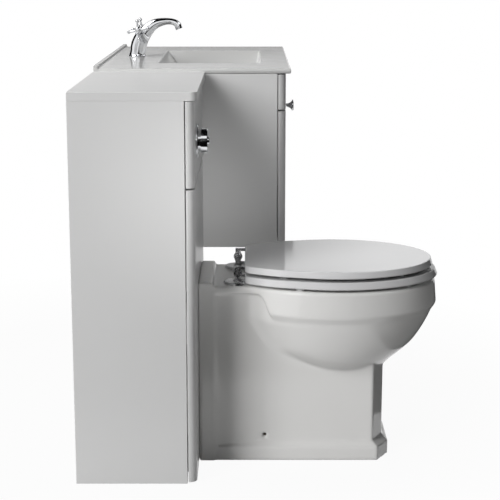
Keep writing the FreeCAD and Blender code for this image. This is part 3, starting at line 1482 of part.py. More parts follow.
# Bottle trap: union nut on the waste, bottle with a dip pipe, outlet to the wall and a screw-on cup
trap_top = "-waste_length"
bottle_top = "-waste_length - trap_nut_height / 2"
bottle_low = f"{bottle_top} - bottle_height"
bottle = turned("trap_bottle", [
    ("waste_bore", trap_top),
    ("waste_radius", trap_top),
    ("waste_radius", "trap_nut_height / 2 - waste_length"),
    ("trap_nut_radius", "trap_nut_height / 2 - waste_length"),
    ("trap_nut_radius", bottle_top),
    ("bottle_radius", bottle_top),
    ("bottle_radius", bottle_low),
    ("bottle_radius - bottle_wall", bottle_low),
    ("bottle_radius - bottle_wall", f"{bottle_top} - bottle_wall"),
    ("waste_bore + bottle_wall", f"{bottle_top} - bottle_wall"),
    ("waste_bore + bottle_wall", bottle_low),
    ("waste_bore", bottle_low),
])
place(bottle, waste_place)
outlet_z = f"{bowl_floor} + {bottle_top} - outlet_drop"
outlet_start = "bowl_back + bowl_width / 2 - bottle_radius + bottle_wall"
outlet = turned("trap_outlet", [
    ("0", "0"),
    ("outlet_radius", "0"),
    ("outlet_radius", "spigot_length"),
    ("outlet_neck_radius", "spigot_length"),
    ("outlet_neck_radius", outlet_start),
    ("0", outlet_start),
])
face_front(outlet, (bowl_x, "0", outlet_z))
outlet_bore = rod("trap_outlet_bore", (bowl_x, "overrun", outlet_z), "outlet_radius - bottle_wall",
                  f"{outlet_start} + overrun", Vector(0, -1, 0))
keep(cut("trap_body", fuse("trap_body", bottle, outlet), outlet_bore), "trap_body")
cup = turned("trap_cup", [
    ("0", f"{bottle_low} + cup_lap - cup_height"),
    ("cup_radius", f"{bottle_low} + cup_lap - cup_height"),
    ("cup_radius", f"{bottle_low} + cup_lap"),
    ("bottle_radius", f"{bottle_low} + cup_lap"),
    ("bottle_radius", f"{bottle_low} + cup_lap + bottle_wall - cup_height"),
    ("0", f"{bottle_low} + cup_lap + bottle_wall - cup_height"),
])
keep(place(cup, waste_place), "trap_cup")

# Tap: base ring, curved body with two valve shrouds, aerator, fixing, and the two cross handles
tap_top = value(basin_top)
tap_x = value(bowl_x)
ring = turned("tap_base_ring", [
    ("tap_stud_radius", "0"),
    ("tap_ring_radius", "0"),
    ("tap_ring_radius", "tap_ring_thick / 2"),
    ("tap_foot_radius", "tap_ring_thick"),
    ("tap_stud_radius", "tap_ring_thick"),
])
keep(place(ring, (bowl_x, "-tap_reach", basin_top)), "tap_base_ring")
# Middle line of the spout: share of its run from the foot, share of its rise, share of the foot radius
spout_shares = (
    (0, 0, 1), (0.02, 0.16, 0.95), (0.06, 0.38, 0.93), (0.13, 0.56, 0.88), (0.25, 0.76, 0.76),
    (0.42, 0.925, 0.58), (0.6, 0.99, 0.44), (0.76, 1, 0.37), (0.865, 0.966, 0.38), (0.95, 0.84, 0.43),
)


# Direction in which the spout ends, forward and down
tip_heading = Vector(0, -at.tip_forward_share, -at.tip_drop_share)


def tap_spot(across, reach, rise):
    """Point from the tap's middle line, the wall and the basin's top."""
    return Vector(tap_x + across, -reach, tap_top + rise)


def spout_middles():
    """Points of the spout's middle line with their radii."""
    run = at.spout_run
    rise = at.spout_rise - at.tap_ring_thick
    return [(tap_spot(0, at.tap_reach + run * along, at.tap_ring_thick + rise * up),
             at.tap_foot_radius * thick) for along, up, thick in spout_shares]


def tap_body():
    """Body lofted through rings square to the middle line, with a shroud for each valve."""
    middles = spout_middles()
    line = Part.BSplineCurve()
    line.interpolate([middle for middle, _ in middles], InitialTangent=Vector(0, 0, 1),
                     FinalTangent=tip_heading)
    rings = []
    for middle, radius in middles:
        heading = line.tangent(line.parameter(middle))[0]
        rings.append(Part.Wire([Part.makeCircle(radius, middle, heading)]))
    body = Part.makeLoft(rings, True, False)
    pieces = []
    for hand in (-1, 1):
        root, heading, reach = valve_line(hand)
        length = reach - at.shroud_setback
        profile = shroud_profile(length)
        shroud = Part.Face(profile).revolve(Vector(), Vector(0, 0, 1), 360)
        spindle = Part.makeCylinder(at.spindle_radius, reach + at.hub_length / 4)
        shroud = shroud.fuse(spindle)
        shroud.Placement = Placement(root, Rotation(Vector(0, 0, 1), heading))
        pieces.append(shroud)
    return body.multiFuse(pieces)


def valve_line(hand):
    """Root, direction and length of a valve's axis, from the body to the middle of its hub."""
    root = tap_spot(hand * at.valve_root_offset, at.valve_root_reach, at.valve_root_rise)
    tip = tap_spot(hand * at.hub_offset, at.hub_reach, at.hub_rise)
    heading = tip - root
    reach = heading.Length
    return root, heading.normalize(), reach


def shroud_profile(length):
    """Half section of a valve shroud: full at the root, waisted, and flared to its mouth."""
    start = Vector(at.shroud_root_radius, 0, 0)
    mouth = Vector(at.shroud_mouth_radius, 0, length)
    waist = Vector(at.shroud_waist_radius, 0, length * at.shroud_waist_share)
    return Part.Wire([
        Part.LineSegment(Vector(), start).toShape(),
        Part.Arc(start, waist, mouth).toShape(),
        Part.LineSegment(mouth, Vector(0, 0, length)).toShape(),
        Part.LineSegment(Vector(0, 0, length), Vector()).toShape(),
    ])


feature("tap_body", tap_body())
tip_middle = spout_middles()[-1][0]
nozzle = Part.makeCylinder(at.aerator_radius, at.aerator_length, tip_middle, tip_heading)
nozzle = nozzle.cut(Part.makeCylinder(at.aerator_bore, at.aerator_length,
                                      tip_middle + tip_heading * (at.aerator_length / 2), tip_heading))
feature("tap_aerator", nozzle)
stud = turned("tap_stud", [
    ("0", "tap_ring_thick"),
    ("0", "tap_ring_thick - tap_stud_length"),
    ("tap_stud_radius", "tap_ring_thick - tap_stud_length"),
    ("tap_stud_radius", "tap_ring_thick"),
])
washer = turned("tap_washer", [
    ("tap_stud_radius", "-basin_thick - tap_washer_thick"),
    ("tap_washer_radius", "-basin_thick - tap_washer_thick"),
    ("tap_washer_radius", "-basin_thick"),
    ("tap_stud_radius", "-basin_thick"),
])
tap_nut = turned("tap_nut", [
    ("tap_stud_radius", "-basin_thick - tap_washer_thick - tap_nut_thick"),
    ("tap_nut_radius", "-basin_thick - tap_washer_thick - tap_nut_thick"),
    ("tap_nut_radius", "-basin_thick - tap_washer_thick"),
    ("tap_stud_radius", "-basin_thick - tap_washer_thick"),
])
group("tap_fixings", *(place(item, (bowl_x, "-tap_reach", basin_top)) for item in (stud, washer, tap_nut)))
for tag, hand in (("left", -1), ("right", 1)):
    root, heading, reach = valve_line(hand)
    hub_low = "-hub_length / 2"
    handle = turned(f"tap_handle_{tag}", [
        ("spindle_radius + running_fit", hub_low),
        ("hub_foot_radius", hub_low),
        ("hub_radius", "-hub_length / 4"),
        ("hub_radius", "hub_length / 4"),
        ("cap_radius", "hub_length / 2"),
        ("dome_flat", "hub_length / 2 + cap_rise",
         "cap_radius * dome_share", "hub_length / 2 + cap_rise * dome_rise_share"),
        ("0", "hub_length / 2 + cap_rise"),
        ("0", "hub_length / 4 + hub_gap"),
        ("spindle_radius + running_fit", "hub_length / 4 + hub_gap"),
    ])
    spoke = new_sketch(handle, f"tap_spoke_{tag}", "XZ_Plane")
    bulge = "sqrt(spoke_ball_radius ^ 2 - spoke_radius ^ 2)"
    outline(spoke, [
        ("spoke_root_reach", "0"),
        ("spoke_root_reach", "spoke_root_radius"),
        (f"spoke_reach - {bulge}", "spoke_radius"),
        ("spoke_reach + spoke_ball_radius", "0", "spoke_reach", "spoke_ball_radius"),
    ])
    turn = handle.newObject("PartDesign::Revolution", f"tap_spoke_turn_{tag}")
    turn.Profile = spoke
    turn.ReferenceAxis = (spoke, ["H_Axis"])
    doc.recompute()
    ring_of_spokes = handle.newObject("PartDesign::PolarPattern", f"tap_spokes_{tag}")
    ring_of_spokes.Originals = [turn]
    ring_of_spokes.Axis = (doc.getObject(f"tap_handle_{tag}_profile"), ["V_Axis"])
    ring_of_spokes.Angle = 360
    ring_of_spokes.Occurrences = 4
    handle.Tip = ring_of_spokes
    handle.Placement = Placement(root + heading * reach, Rotation(Vector(0, 0, 1), heading))
    keep(handle, f"tap_handle_{tag}")

doc.recompute()
faults = [item.Name for item in doc.Objects if {"Invalid", "Error"} & set(item.State)]
for name, item in nodes.items():
    if item.Shape.isNull() or not item.Shape.isValid():
        faults.append(name)
if faults:
    raise RuntimeError(f"failed objects: {faults}")
os.makedirs("parts", exist_ok=True)
for name, item in nodes.items():
    item.Shape.exportStep(f"parts/{name}.step")
    print(f"{name}: {len(item.Shape.Solids)} solids, {item.Shape.Volume / 1000:.1f} cm3")
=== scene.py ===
import math

import bmesh
import bpy
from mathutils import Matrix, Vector


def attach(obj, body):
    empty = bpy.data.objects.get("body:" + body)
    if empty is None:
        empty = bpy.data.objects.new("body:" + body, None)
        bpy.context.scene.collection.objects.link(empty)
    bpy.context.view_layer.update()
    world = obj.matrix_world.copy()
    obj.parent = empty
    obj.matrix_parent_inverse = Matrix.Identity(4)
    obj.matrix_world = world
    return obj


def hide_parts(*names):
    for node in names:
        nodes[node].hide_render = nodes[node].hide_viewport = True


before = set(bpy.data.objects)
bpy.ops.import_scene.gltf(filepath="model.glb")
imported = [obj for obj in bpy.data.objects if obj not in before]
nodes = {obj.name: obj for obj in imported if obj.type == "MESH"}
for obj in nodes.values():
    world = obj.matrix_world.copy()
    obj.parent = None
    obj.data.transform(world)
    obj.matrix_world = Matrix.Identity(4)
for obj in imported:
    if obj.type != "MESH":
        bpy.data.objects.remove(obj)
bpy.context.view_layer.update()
scene = bpy.context.scene

# The camera looks along the wall from the WC unit's side, a little above the basin.
# Its long lens keeps the uprights of both units nearly parallel.
camera_data = bpy.data.cameras.new("camera")
camera_data.sensor_fit = "HORIZONTAL"
camera_data.sensor_width = 36
camera_data.lens = 100
camera = bpy.data.objects.new("camera", camera_data)
camera.location = (-3.2706, -0.3673, 1.0971)
camera_pitch = math.radians(12.05)
camera.rotation_euler = (math.pi / 2 - camera_pitch, 0, -math.pi / 2)
scene.collection.objects.link(camera)
scene.camera = camera
scene.view_settings.view_transform = "Standard"


# The studio floor is a pale sheet under the suite that runs to white away from it.
# It takes a faint contact shadow near the feet of the WC unit and the pan.
def add(tree, kind, values=(), **settings):
    """New shader node with some of its settings and input values."""
    node = tree.nodes.new(kind)
    for name, setting in settings.items():
        setattr(node, name, setting)
    for name, amount in dict(values).items():
        node.inputs[name].default_value = amount
    return node


def new_material(name):
    """Material with an empty tree and its output node."""
    paint = bpy.data.materials.new(name)
    paint.use_nodes = True
    paint.node_tree.nodes.clear()
    return paint, paint.node_tree, add(paint.node_tree, "ShaderNodeOutputMaterial")


def seen_ray(tree):
    """1 for rays from the camera, in mirrors and through glass, and 0 for light that bounces."""
    path = add(tree, "ShaderNodeLightPath")
    mirror = add(tree, "ShaderNodeMath", operation="MAXIMUM")
    tree.links.new(path.outputs["Is Camera Ray"], mirror.inputs[0])
    tree.links.new(path.outputs["Is Glossy Ray"], mirror.inputs[1])
    glass = add(tree, "ShaderNodeMath", operation="MAXIMUM")
    tree.links.new(mirror.outputs[0], glass.inputs[0])
    tree.links.new(path.outputs["Is Transmission Ray"], glass.inputs[1])
    return glass.outputs[0]


floor_half = 8.0
floor_drop = 0.0005
shadow_depth = 0.05
shadow_start = 0.75
shadow_end = 1.5
floor_mesh = bpy.data.meshes.new("studio_floor")
sheet = bmesh.new()
bmesh.ops.create_grid(sheet, x_segments=1, y_segments=1, size=floor_half)
bmesh.ops.translate(sheet, verts=sheet.verts, vec=(0, 0, -floor_drop))
sheet.to_mesh(floor_mesh)
sheet.free()
floor = bpy.data.objects.new("studio_floor", floor_mesh)
scene.collection.objects.link(floor)
floor_paint, tree, output = new_material("studio_floor")
matt = add(tree, "ShaderNodeBsdfDiffuse", {"Color": (0.5, 0.5, 0.5, 1)})
glow = add(tree, "ShaderNodeEmission", {"Color": (1, 1, 1, 1), "Strength": 1})
spots = add(tree, "ShaderNodeTexCoord")
away = add(tree, "ShaderNodeVectorMath", operation="LENGTH")
tree.links.new(spots.outputs["Object"], away.inputs[0])
glow_share = add(tree, "ShaderNodeMapRange", {"From Min": shadow_start, "From Max": shadow_end,
                                              "To Min": 1 - shadow_depth, "To Max": 1.0})
tree.links.new(away.outputs["Value"], glow_share.inputs["Value"])
share = add(tree, "ShaderNodeMath", operation="MULTIPLY")
tree.links.new(glow_share.outputs["Result"], share.inputs[1])
mix = add(tree, "ShaderNodeMixShader")
tree.links.new(seen_ray(tree), share.inputs[0])
tree.links.new(share.outputs[0], mix.inputs["Fac"])
tree.links.new(matt.outputs[0], mix.inputs[1])
tree.links.new(glow.outputs[0], mix.inputs[2])
tree.links.new(mix.outputs[0], output.inputs["Surface"])
floor_mesh.materials.append(floor_paint)

# The room round the set is a plain white studio with no walls in sight.
# It is white to the eye and lights the suite weakly from all sides.
world = bpy.data.worlds.new("studio")
scene.world = world
world.use_nodes = True
tree = world.node_tree
tree.nodes.clear()
output = add(tree, "ShaderNodeOutputWorld")
room = add(tree, "ShaderNodeBackground", {"Color": (0.95, 0.97, 1.0, 1), "Strength": 0.02})
white = add(tree, "ShaderNodeBackground", {"Color": (1, 1, 1, 1), "Strength": 1})
mix = add(tree, "ShaderNodeMixShader")
tree.links.new(seen_ray(tree), mix.inputs["Fac"])
tree.links.new(room.outputs[0], mix.inputs[1])
tree.links.new(white.outputs[0], mix.inputs[2])
tree.links.new(mix.outputs[0], output.inputs["Surface"])


# Studio lamps: a large far soft box on the wall side of the camera, weak ones high behind, before and
# beyond the suite, and a soft snooted lamp that lifts the vanity's side out of the WC unit's shadow.
def soft_box(name, place, aim, width, height, watts):
    """Rectangular lamp that faces a point."""
    lamp = bpy.data.lights.new(name, "AREA")
    lamp.shape = "RECTANGLE"
    lamp.size = width
    lamp.size_y = height
    lamp.energy = watts
    item = bpy.data.objects.new(name, lamp)
    item.location = place
    item.rotation_euler = (Vector(aim) - Vector(place)).to_track_quat("-Z", "Y").to_euler()
    scene.collection.objects.link(item)
    return item


lamp_aim = (-0.25, -0.35, 0.45)
soft_box("key_box", (-5.6, 4.25, 4.2), lamp_aim, width=3.4, height=4.6, watts=525)
soft_box("back_box", (-0.1, 0.9, 2.6), lamp_aim, width=1.2, height=1.0, watts=30)
soft_box("front_box", (-0.25, -1.8, 2.6), lamp_aim, width=1.4, height=1.4, watts=4)
beyond_box = soft_box("beyond_box", (3.6, 0.5, 2.0), lamp_aim, width=1.6, height=1.6, watts=45)
beyond_box.visible_glossy = False
snoot = bpy.data.lights.new("vanity_snoot", "SPOT")
snoot.energy = 185
snoot.spot_size = math.radians(8)
snoot.spot_blend = 1.0
snoot.shadow_soft_size = 0.2
snoot_stand = bpy.data.objects.new("vanity_snoot", snoot)
snoot_stand.location = (-3.0, -0.7, 1.25)
snoot_aim = Vector((0.0, -0.255, 0.53))
snoot_stand.rotation_euler = (snoot_aim - snoot_stand.location).to_track_quat("-Z", "Y").to_euler()
scene.collection.objects.link(snoot_stand)


# Cloth flags and a thin scrim stand round the set, and two flags lie on the floor. Only mirrors see
# them: they give the plated pieces their dark and grey streaks, and neither light nor shade the suite.
card_weld = 0.0001
weave_threads = 300.0


def flag(name, low, high, paint):
    """Flat card between two corners that share one coordinate."""
    card = bmesh.new()
    bmesh.ops.create_cube(card, size=1)
    middle = (Vector(low) + Vector(high)) / 2
    bmesh.ops.scale(card, verts=card.verts, vec=Vector(high) - Vector(low))
    bmesh.ops.translate(card, verts=card.verts, vec=middle)
    bmesh.ops.remove_doubles(card, verts=card.verts, dist=card_weld)
    mesh = bpy.data.meshes.new(name)
    card.to_mesh(mesh)
    card.free()
    mesh.materials.append(paint)
    item = bpy.data.objects.new(name, mesh)
    scene.collection.objects.link(item)
    item.visible_camera = False
    item.visible_diffuse = False
    item.visible_shadow = False
    item.visible_transmission = False


def cloth(name, dark, light, shader="ShaderNodeBsdfDiffuse"):
    """Matt woven cloth between two grey levels, lit from before or from behind."""
    paint, tree, output = new_material(name)
    spots = add(tree, "ShaderNodeTexCoord")
    weave = add(tree, "ShaderNodeTexWave", {"Scale": weave_threads})
    level = add(tree, "ShaderNodeMapRange", {"To Min": dark, "To Max": light})
    matt = add(tree, shader)
    tree.links.new(spots.outputs["Object"], weave.inputs["Vector"])
    tree.links.new(weave.outputs["Fac"], level.inputs["Value"])
    tree.links.new(level.outputs["Result"], matt.inputs["Color"])
    tree.links.new(matt.outputs["BSDF"], output.inputs["Surface"])
    return paint


black_cloth = cloth("black_cloth", 0.004, 0.012)
pale_cloth = cloth("pale_cloth", 0.36, 0.4)
thin_cloth = cloth("thin_cloth", 0.28, 0.34, "ShaderNodeBsdfTranslucent")
flag("side_flag", (-0.95, -0.95, 0.2), (-0.95, -0.13, 1.0), black_cloth)
flag("ceiling_flag", (-2.6, -2.0, 3.3), (2.5, 1.0, 3.3), black_cloth)
flag("floor_flag", (-3.0, -1.9, 0.004), (-0.95, 0.2, 0.004), black_cloth)
flag("front_flag", (-2.6, -2.0, 0.01), (1.6, -2.0, 2.2), black_cloth)
flag("near_flag", (-0.95, -2.0, 0.004), (1.6, -0.86, 0.004), black_cloth)
flag("wall_flag", (0.5, 1.4, 0.2), (3.0, 1.4, 2.5), black_cloth)
flag("tap_scrim", (-1.8, 0.35, 0.25), (0.1, 0.35, 2.3), thin_cloth)
flag("far_flag", (2.5, -1.6, 1.2), (2.5, 0.5, 2.6), black_cloth)
flag("basin_flag", (2.5, -0.55, 0.8), (2.5, 0.5, 1.035), pale_cloth)


# WC unit: two sides, worktop and two front panels of white lacquered board, with every arris sanded
# to a small round. The sides stand on the floor and the panels are screwed on from the rails behind.
def new_group(name, inputs, outputs):
    """Shader node group with its sockets, as pairs of label and default or label and kind."""
    tree = bpy.data.node_groups.new(name, "ShaderNodeTree")
    for label, default in inputs.items():
        kind = "NodeSocketColor" if isinstance(default, tuple) else "NodeSocketFloat"
        tree.interface.new_socket(label, in_out="INPUT", socket_type=kind).default_value = default
    for label, kind in outputs.items():
        tree.interface.new_socket(label, in_out="OUTPUT", socket_type=kind)
    return tree, tree.nodes.new("NodeGroupInput"), tree.nodes.new("NodeGroupOutput")


def cloudy(tree, scale, detail=3.0):
    """Noise on the piece's own coordinates; scale is a socket or a number."""
    spots = add(tree, "ShaderNodeTexCoord")
    noise = add(tree, "ShaderNodeTexNoise", {"Detail": detail})
    tree.links.new(spots.outputs["Object"], noise.inputs["Vector"])
    if isinstance(scale, (int, float)):
        noise.inputs["Scale"].default_value = scale
    else:
        tree.links.new(scale, noise.inputs["Scale"])
    return noise


noise_low, noise_high = 0.3, 0.7


def tone_drift():
    """Colour that drifts a little darker in broad soft patches, as a sprayed or fired coat does."""
    tree, start, end = new_group("tone_drift", {"Colour": (0.8, 0.8, 0.8, 1), "Drift": 0.04, "Cells": 4.0},
                                 {"Colour": "NodeSocketColor"})
    noise = cloudy(tree, start.outputs["Cells"])
    lowest = add(tree, "ShaderNodeMath", operation="SUBTRACT")
    lowest.inputs[0].default_value = 1
    tree.links.new(start.outputs["Drift"], lowest.inputs[1])
    level = add(tree, "ShaderNodeMapRange", {"From Min": noise_low, "From Max": noise_high, "To Max": 1.0})
    tree.links.new(noise.outputs["Fac"], level.inputs["Value"])
    tree.links.new(lowest.outputs[0], level.inputs["To Min"])
    shade = add(tree, "ShaderNodeHueSaturation")
    tree.links.new(start.outputs["Colour"], shade.inputs["Color"])
    tree.links.new(level.outputs["Result"], shade.inputs["Value"])
    tree.links.new(shade.outputs["Color"], end.inputs["Colour"])
    return tree


marks_low, marks_high = 0.15, 0.4
speck_cells = 420.0


def handling_marks():
    """Roughness with wiped smears and fine specks."""
    tree, start, end = new_group("handling_marks", {"Roughness": 0.3, "Smear": 0.1, "Cells": 12.0},
                                 {"Roughness": "NodeSocketFloat"})
    broad = cloudy(tree, start.outputs["Cells"], 6.0)
    fine = cloudy(tree, speck_cells, 2.0)
    both = add(tree, "ShaderNodeMath", operation="MULTIPLY")
    tree.links.new(broad.outputs["Fac"], both.inputs[0])
    tree.links.new(fine.outputs["Fac"], both.inputs[1])
    level = add(tree, "ShaderNodeMapRange", {"From Min": marks_low, "From Max": marks_high,
                                             "To Min": 0.0, "To Max": 1.0})
    tree.links.new(both.outputs[0], level.inputs["Value"])
    amount = add(tree, "ShaderNodeMath", operation="MULTIPLY_ADD")
    tree.links.new(level.outputs["Result"], amount.inputs[0])
    tree.links.new(start.outputs["Smear"], amount.inputs[1])
    tree.links.new(start.outputs["Roughness"], amount.inputs[2])
    tree.links.new(amount.outputs[0], end.inputs["Roughness"])
    return tree


def surface_ripple():
    """Small unevenness of a coat, by its cells to the metre and its depth in metres."""
    tree, start, end = new_group("surface_ripple", {"Cells": 300.0, "Depth": 0.00005},
                                 {"Normal": "NodeSocketVector"})
    noise = cloudy(tree, start.outputs["Cells"], 1.5)
    bump = add(tree, "ShaderNodeBump", {"Strength": 1.0})
    tree.links.new(noise.outputs["Fac"], bump.inputs["Height"])
    tree.links.new(start.outputs["Depth"], bump.inputs["Distance"])
    tree.links.new(bump.outputs["Normal"], end.inputs["Normal"])
    return tree


effects = {"tone": tone_drift(), "marks": handling_marks(), "ripple": surface_ripple()}


def effect(tree, name, values):
    """Places one of the shared effects in a material with its own values."""
    return add(tree, "ShaderNodeGroup", values, node_tree=effects[name])


def finish(name, colour, roughness, tone, marks, ripple, **sockets):
    """Material with drifting tone, marked gloss and a rippled coat.

    tone and marks are a share and its cells to the metre; ripple is cells to the metre and a depth in
    metres. Further values go on the material's own sockets.
    """
    paint, tree, output = new_material(name)
    own_values = {label.replace("_", " "): amount for label, amount in sockets.items()}
    coat = add(tree, "ShaderNodeBsdfPrincipled", own_values)
    tree.links.new(coat.outputs["BSDF"], output.inputs["Surface"])
    shade = effect(tree, "tone", {"Colour": (*colour, 1), "Drift": tone[0], "Cells": tone[1]})
    tree.links.new(shade.outputs["Colour"], coat.inputs["Base Color"])
    gloss = effect(tree, "marks", {"Roughness": roughness, "Smear": marks[0], "Cells": marks[1]})
    tree.links.new(gloss.outputs["Roughness"], coat.inputs["Roughness"])
    grain = effect(tree, "ripple", {"Cells": ripple[0], "Depth": ripple[1]})
    tree.links.new(grain.outputs["Normal"], coat.inputs["Normal"])
    return paint


weld_gap = 0.00001
flat_turn = math.radians(0.5)


def merged_copy(node):
    """Bmesh of a CAD node with its triangles joined up and flat faces whole."""
    shape = bmesh.new()
    shape.from_mesh(nodes[node].data)
    bmesh.ops.remove_doubles(shape, verts=shape.verts, dist=weld_gap)
    bmesh.ops.dissolve_limit(shape, angle_limit=flat_turn, verts=shape.verts, edges=shape.edges)
    return shape


sharp_turn = math.radians(35)


def new_piece(name, shape, paint):
    """Object at the origin from a finished bmesh, shaded smooth up to the sharp turn."""
    mesh = bpy.data.meshes.new(name)
    shape.to_mesh(mesh)
    shape.free()
    mesh.polygons.foreach_set("use_smooth", [True] * len(mesh.polygons))
    mesh.set_sharp_from_angle(angle=sharp_turn)
    mesh.materials.append(paint)
    piece = bpy.data.objects.new(name, mesh)
    scene.collection.objects.link(piece)
    return piece


arris_steps = 3


def eased(node, body, paint, round_size):
    """Copy of a CAD piece with its sharp edges rounded, in place of the piece."""
    piece = new_piece(f"{node}_eased", merged_copy(node), paint)
    arris = piece.modifiers.new("arris", "BEVEL")
    arris.width = round_size
    arris.segments = arris_steps
    arris.limit_method = "ANGLE"
    arris.angle_limit = sharp_turn
    arris.harden_normals = True
    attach(piece, body)
    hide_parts(node)


def dress(node, paint):
    """Gives a CAD piece its finish."""
    nodes[node].material_slots[0].material = paint


sanded_round = 0.0009
lacquer = finish("white_lacquer", (0.71, 0.71, 0.707), 0.3, tone=(0.02, 2.2),
                 marks=(0.03, 9.0), ripple=(520.0, 0.00003))
for node in ("wc_sides", "wc_worktop", "wc_upper_fascia", "wc_lower_fascia"):
    eased(node, "suite", lacquer, sanded_round)

# Carcass rails of the WC unit: one back rail and three front rails of white melamine faced chipboard.
# They are sawn with sharp edges and held between the sides by hidden cam fittings.
sawn_round = 0.0004
melamine = finish("melamine_board", (0.74, 0.73, 0.71), 0.5, tone=(0.06, 35.0),
                  marks=(0.08, 30.0), ripple=(900.0, 0.00004))
for node in ("wc_front_rails", "wc_back_rail"):
    eased(node, "suite", melamine, sawn_round)

# Wall brackets of the WC unit: small angles folded from zinc plated steel, each with one screw hole.
# They are fixed inside the sides and tie the unit to the wall.
folded_round = 0.0005
zinc = finish("zinc_plate", (0.56, 0.57, 0.59), 0.36, tone=(0.22, 140.0),
              marks=(0.16, 60.0), ripple=(260.0, 0.00004), Metallic=1.0)
eased("wc_wall_brackets", "suite", zinc, folded_round)

# Concealed cistern: a dark plastic tank with a loose lid, both blow moulded with soft edges.
# It is clipped to the back rail inside the WC unit.
moulded_round = 0.001
tank_plastic = finish("cistern_moulding", (0.05, 0.053, 0.058), 0.5, tone=(0.15, 8.0),
                      marks=(0.12, 14.0), ripple=(1400.0, 0.00005))
for node in ("cistern_tank", "cistern_lid"):
    eased(node, "suite", tank_plastic, moulded_round)

# Flush valve, fill valve and float: injection moulded in pale plastic.
# The two valves are screwed through the floor of the tank, and the float slides on the fill valve.
valve_plastic = finish("valve_moulding", (0.62, 0.64, 0.67), 0.42, tone=(0.08, 20.0),
                       marks=(0.12, 25.0), ripple=(1100.0, 0.00004))
for node in ("flush_valve", "flush_valve_plug", "fill_valve", "fill_float"):
    dress(node, valve_plastic)

# Plastic nuts, flush pipe and soil connector: white pipework, extruded or moulded.
# The nuts clamp the valves under the tank, and the pipes are pushed together.
pipe_plastic = finish("white_pipework", (0.78, 0.78, 0.765), 0.34, tone=(0.05, 10.0),
                      marks=(0.12, 18.0), ripple=(700.0, 0.00003))
for node in ("cistern_nuts", "flush_pipe", "pan_connector", "flush_back_nut"):
    dress(node, pipe_plastic)

# Flush cone: a soft black rubber sleeve, moulded in one piece.
# It is pushed over the end of the flush pipe and into the inlet of the pan.
rubber = finish("black_rubber", (0.022, 0.022, 0.023), 0.62, tone=(0.3, 25.0),
                marks=(0.15, 30.0), ripple=(1600.0, 0.00006))
dress("flush_cone", rubber)

# Flush control: a turned brass flange with two concentric push buttons, polished and chrome plated.
# A nut behind the panel clamps the flange, and the inner button runs inside the outer one.
chrome = finish("chrome_plate", (0.80, 0.81, 0.83), 0.045, tone=(0.03, 9.0),
                marks=(0.10, 40.0), ripple=(60.0, 0.00004), Metallic=1.0)
for node in ("flush_flange", "flush_full_button", "flush_half_button"):
    dress(node, chrome)

# Toilet pan: cast vitreous china with a thick white glaze, so every edge is soft and the bowl flows
# into the body. Two floor brackets inside it take the screws through its sides.
glaze = finish("pan_glaze", (0.835, 0.83, 0.815), 0.09, tone=(0.02, 6.0),
               marks=(0.06, 10.0), ripple=(34.0, 0.00022), IOR=1.52)
flow_share = 0.5
level_weight = 50


def cast(name, node, paint, cell, passes, kept_share):
    """Copy of a CAD piece with every edge run soft, in place of the piece."""
    piece = new_piece(name, merged_copy(node), paint)
    clay = piece.modifiers.new("cast", "REMESH")
    clay.mode = "VOXEL"
    clay.voxel_size = cell
    clay.use_smooth_shade = True
    flow = piece.modifiers.new("flow", "SMOOTH")
    flow.factor = flow_share
    flow.iterations = passes
    thin = piece.modifiers.new("thin", "DECIMATE")
    thin.ratio = kept_share
    level = piece.modifiers.new("level", "WEIGHTED_NORMAL")
    level.mode = "FACE_AREA"
    level.weight = level_weight
    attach(piece, "suite")
    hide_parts(node)


cast("glazed_pan", "toilet_pan", glaze, cell=0.003, passes=5, kept_share=0.45)
eased("pan_floor_brackets", "suite", zinc, folded_round)
# Near-black colour of the side screws: partly blackened steel, partly painted shade standing in for the
# shadow deep in their holes.
dark_screw_painted_shade = finish("dark_screw_painted_shade", (0.06, 0.05, 0.042), 0.4, tone=(0.3, 200.0),
                    marks=(0.15, 90.0), ripple=(900.0, 0.00004), Metallic=0.6)
dress("pan_side_screws", dark_screw_painted_shade)

# Seat and lid: pressed thermoset plastic with a hard gloss and rounded edges.
# Small pale rubber buffers are pushed into their undersides.
seat_gloss = finish("seat_gloss", (0.722, 0.722, 0.727), 0.05, tone=(0.015, 5.0),
                    marks=(0.04, 12.0), ripple=(22.0, 0.00008), IOR=1.5)
for node in ("toilet_seat", "toilet_lid"):
    dress(node, seat_gloss)
buffer_rubber = finish("buffer_rubber", (0.6, 0.6, 0.6), 0.55, tone=(0.1, 60.0),
                       marks=(0.1, 60.0), ripple=(1500.0, 0.00004))
for node in ("seat_buffers", "lid_buffers"):
    dress(node, buffer_rubber)

# Seat hinges: turned brass posts with ball knuckles on round flanges, plated and satin from use.
# Bolts with plastic nuts hold them through the deck, and their arms carry the seat and the lid.
satin_chrome = finish("satin_chrome", (0.66, 0.66, 0.67), 0.2, tone=(0.08, 60.0),
                      marks=(0.12, 80.0), ripple=(420.0, 0.00012), Metallic=1.0)
for node in ("hinge_flanges", "hinge_posts", "seat_hinge_arms", "lid_hinge_arms"):
    dress(node, satin_chrome)
dress("hinge_nuts", valve_plastic)

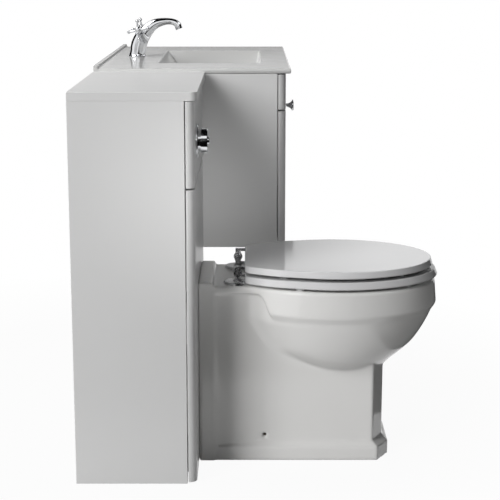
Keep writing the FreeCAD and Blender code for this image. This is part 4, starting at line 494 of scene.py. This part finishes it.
# Vanity unit: sides, bottom and fixed fascia of white lacquered board on a melamine carcass.
# Zinc plated hangers inside its sides hook over plates that are screwed to the wall.
for node in ("vanity_sides", "vanity_bottom", "vanity_fascia"):
    eased(node, "suite", lacquer, sanded_round)
for node in ("vanity_back_rail", "vanity_front_rail"):
    eased(node, "suite", melamine, sawn_round)
for node in ("vanity_hangers", "vanity_wall_plates"):
    eased(node, "suite", zinc, folded_round)

# Drawer: a lacquered front screwed to a box of melamine faced board with a thin bottom.
# The box runs on zinc plated slides between the sides of the unit.
eased("drawer_front", "drawer", lacquer, sanded_round)
for node in ("drawer_sides", "drawer_back", "drawer_floor"):
    eased(node, "drawer", melamine, sawn_round)
rolled_round = 0.0003
eased("drawer_runners", "suite", zinc, rolled_round)
eased("drawer_slides", "drawer", zinc, rolled_round)

# Drawer knob: a trumpet turned from brass and plated.
# One screw through the drawer front holds it.
dress("drawer_knob", chrome)
dress("knob_screw", zinc)

# Basin: slab, back upstand and bowl in one fireclay casting, glazed white with soft edges.
# It lies on the vanity unit and is glued down.
basin_glaze = finish("basin_glaze", (0.575, 0.575, 0.568), 0.12, tone=(0.02, 6.0),
                     marks=(0.06, 10.0), ripple=(40.0, 0.00015), IOR=1.52)
cast("glazed_basin", "basin", basin_glaze, cell=0.0024, passes=4, kept_share=0.3)

# Waste, plug and bottle trap: turned plated brass above the bowl and white moulded plastic below it.
# The nut draws the waste down into the bowl, and the trap screws onto its tail.
for node in ("basin_waste", "waste_plug"):
    dress(node, chrome)
for node in ("waste_nut", "trap_body", "trap_cup"):
    dress(node, pipe_plastic)

# Tap: a cast brass body with two cross handles, polished and chrome plated.
# A brass stud with a washer and a nut holds it down through the slab.
for node in ("tap_base_ring", "tap_body", "tap_aerator", "tap_handle_left", "tap_handle_right"):
    dress(node, chrome)
brass = finish("machined_brass", (0.62, 0.44, 0.18), 0.26, tone=(0.15, 50.0),
               marks=(0.15, 60.0), ripple=(500.0, 0.00004), Metallic=1.0)
dress("tap_fixings", brass)
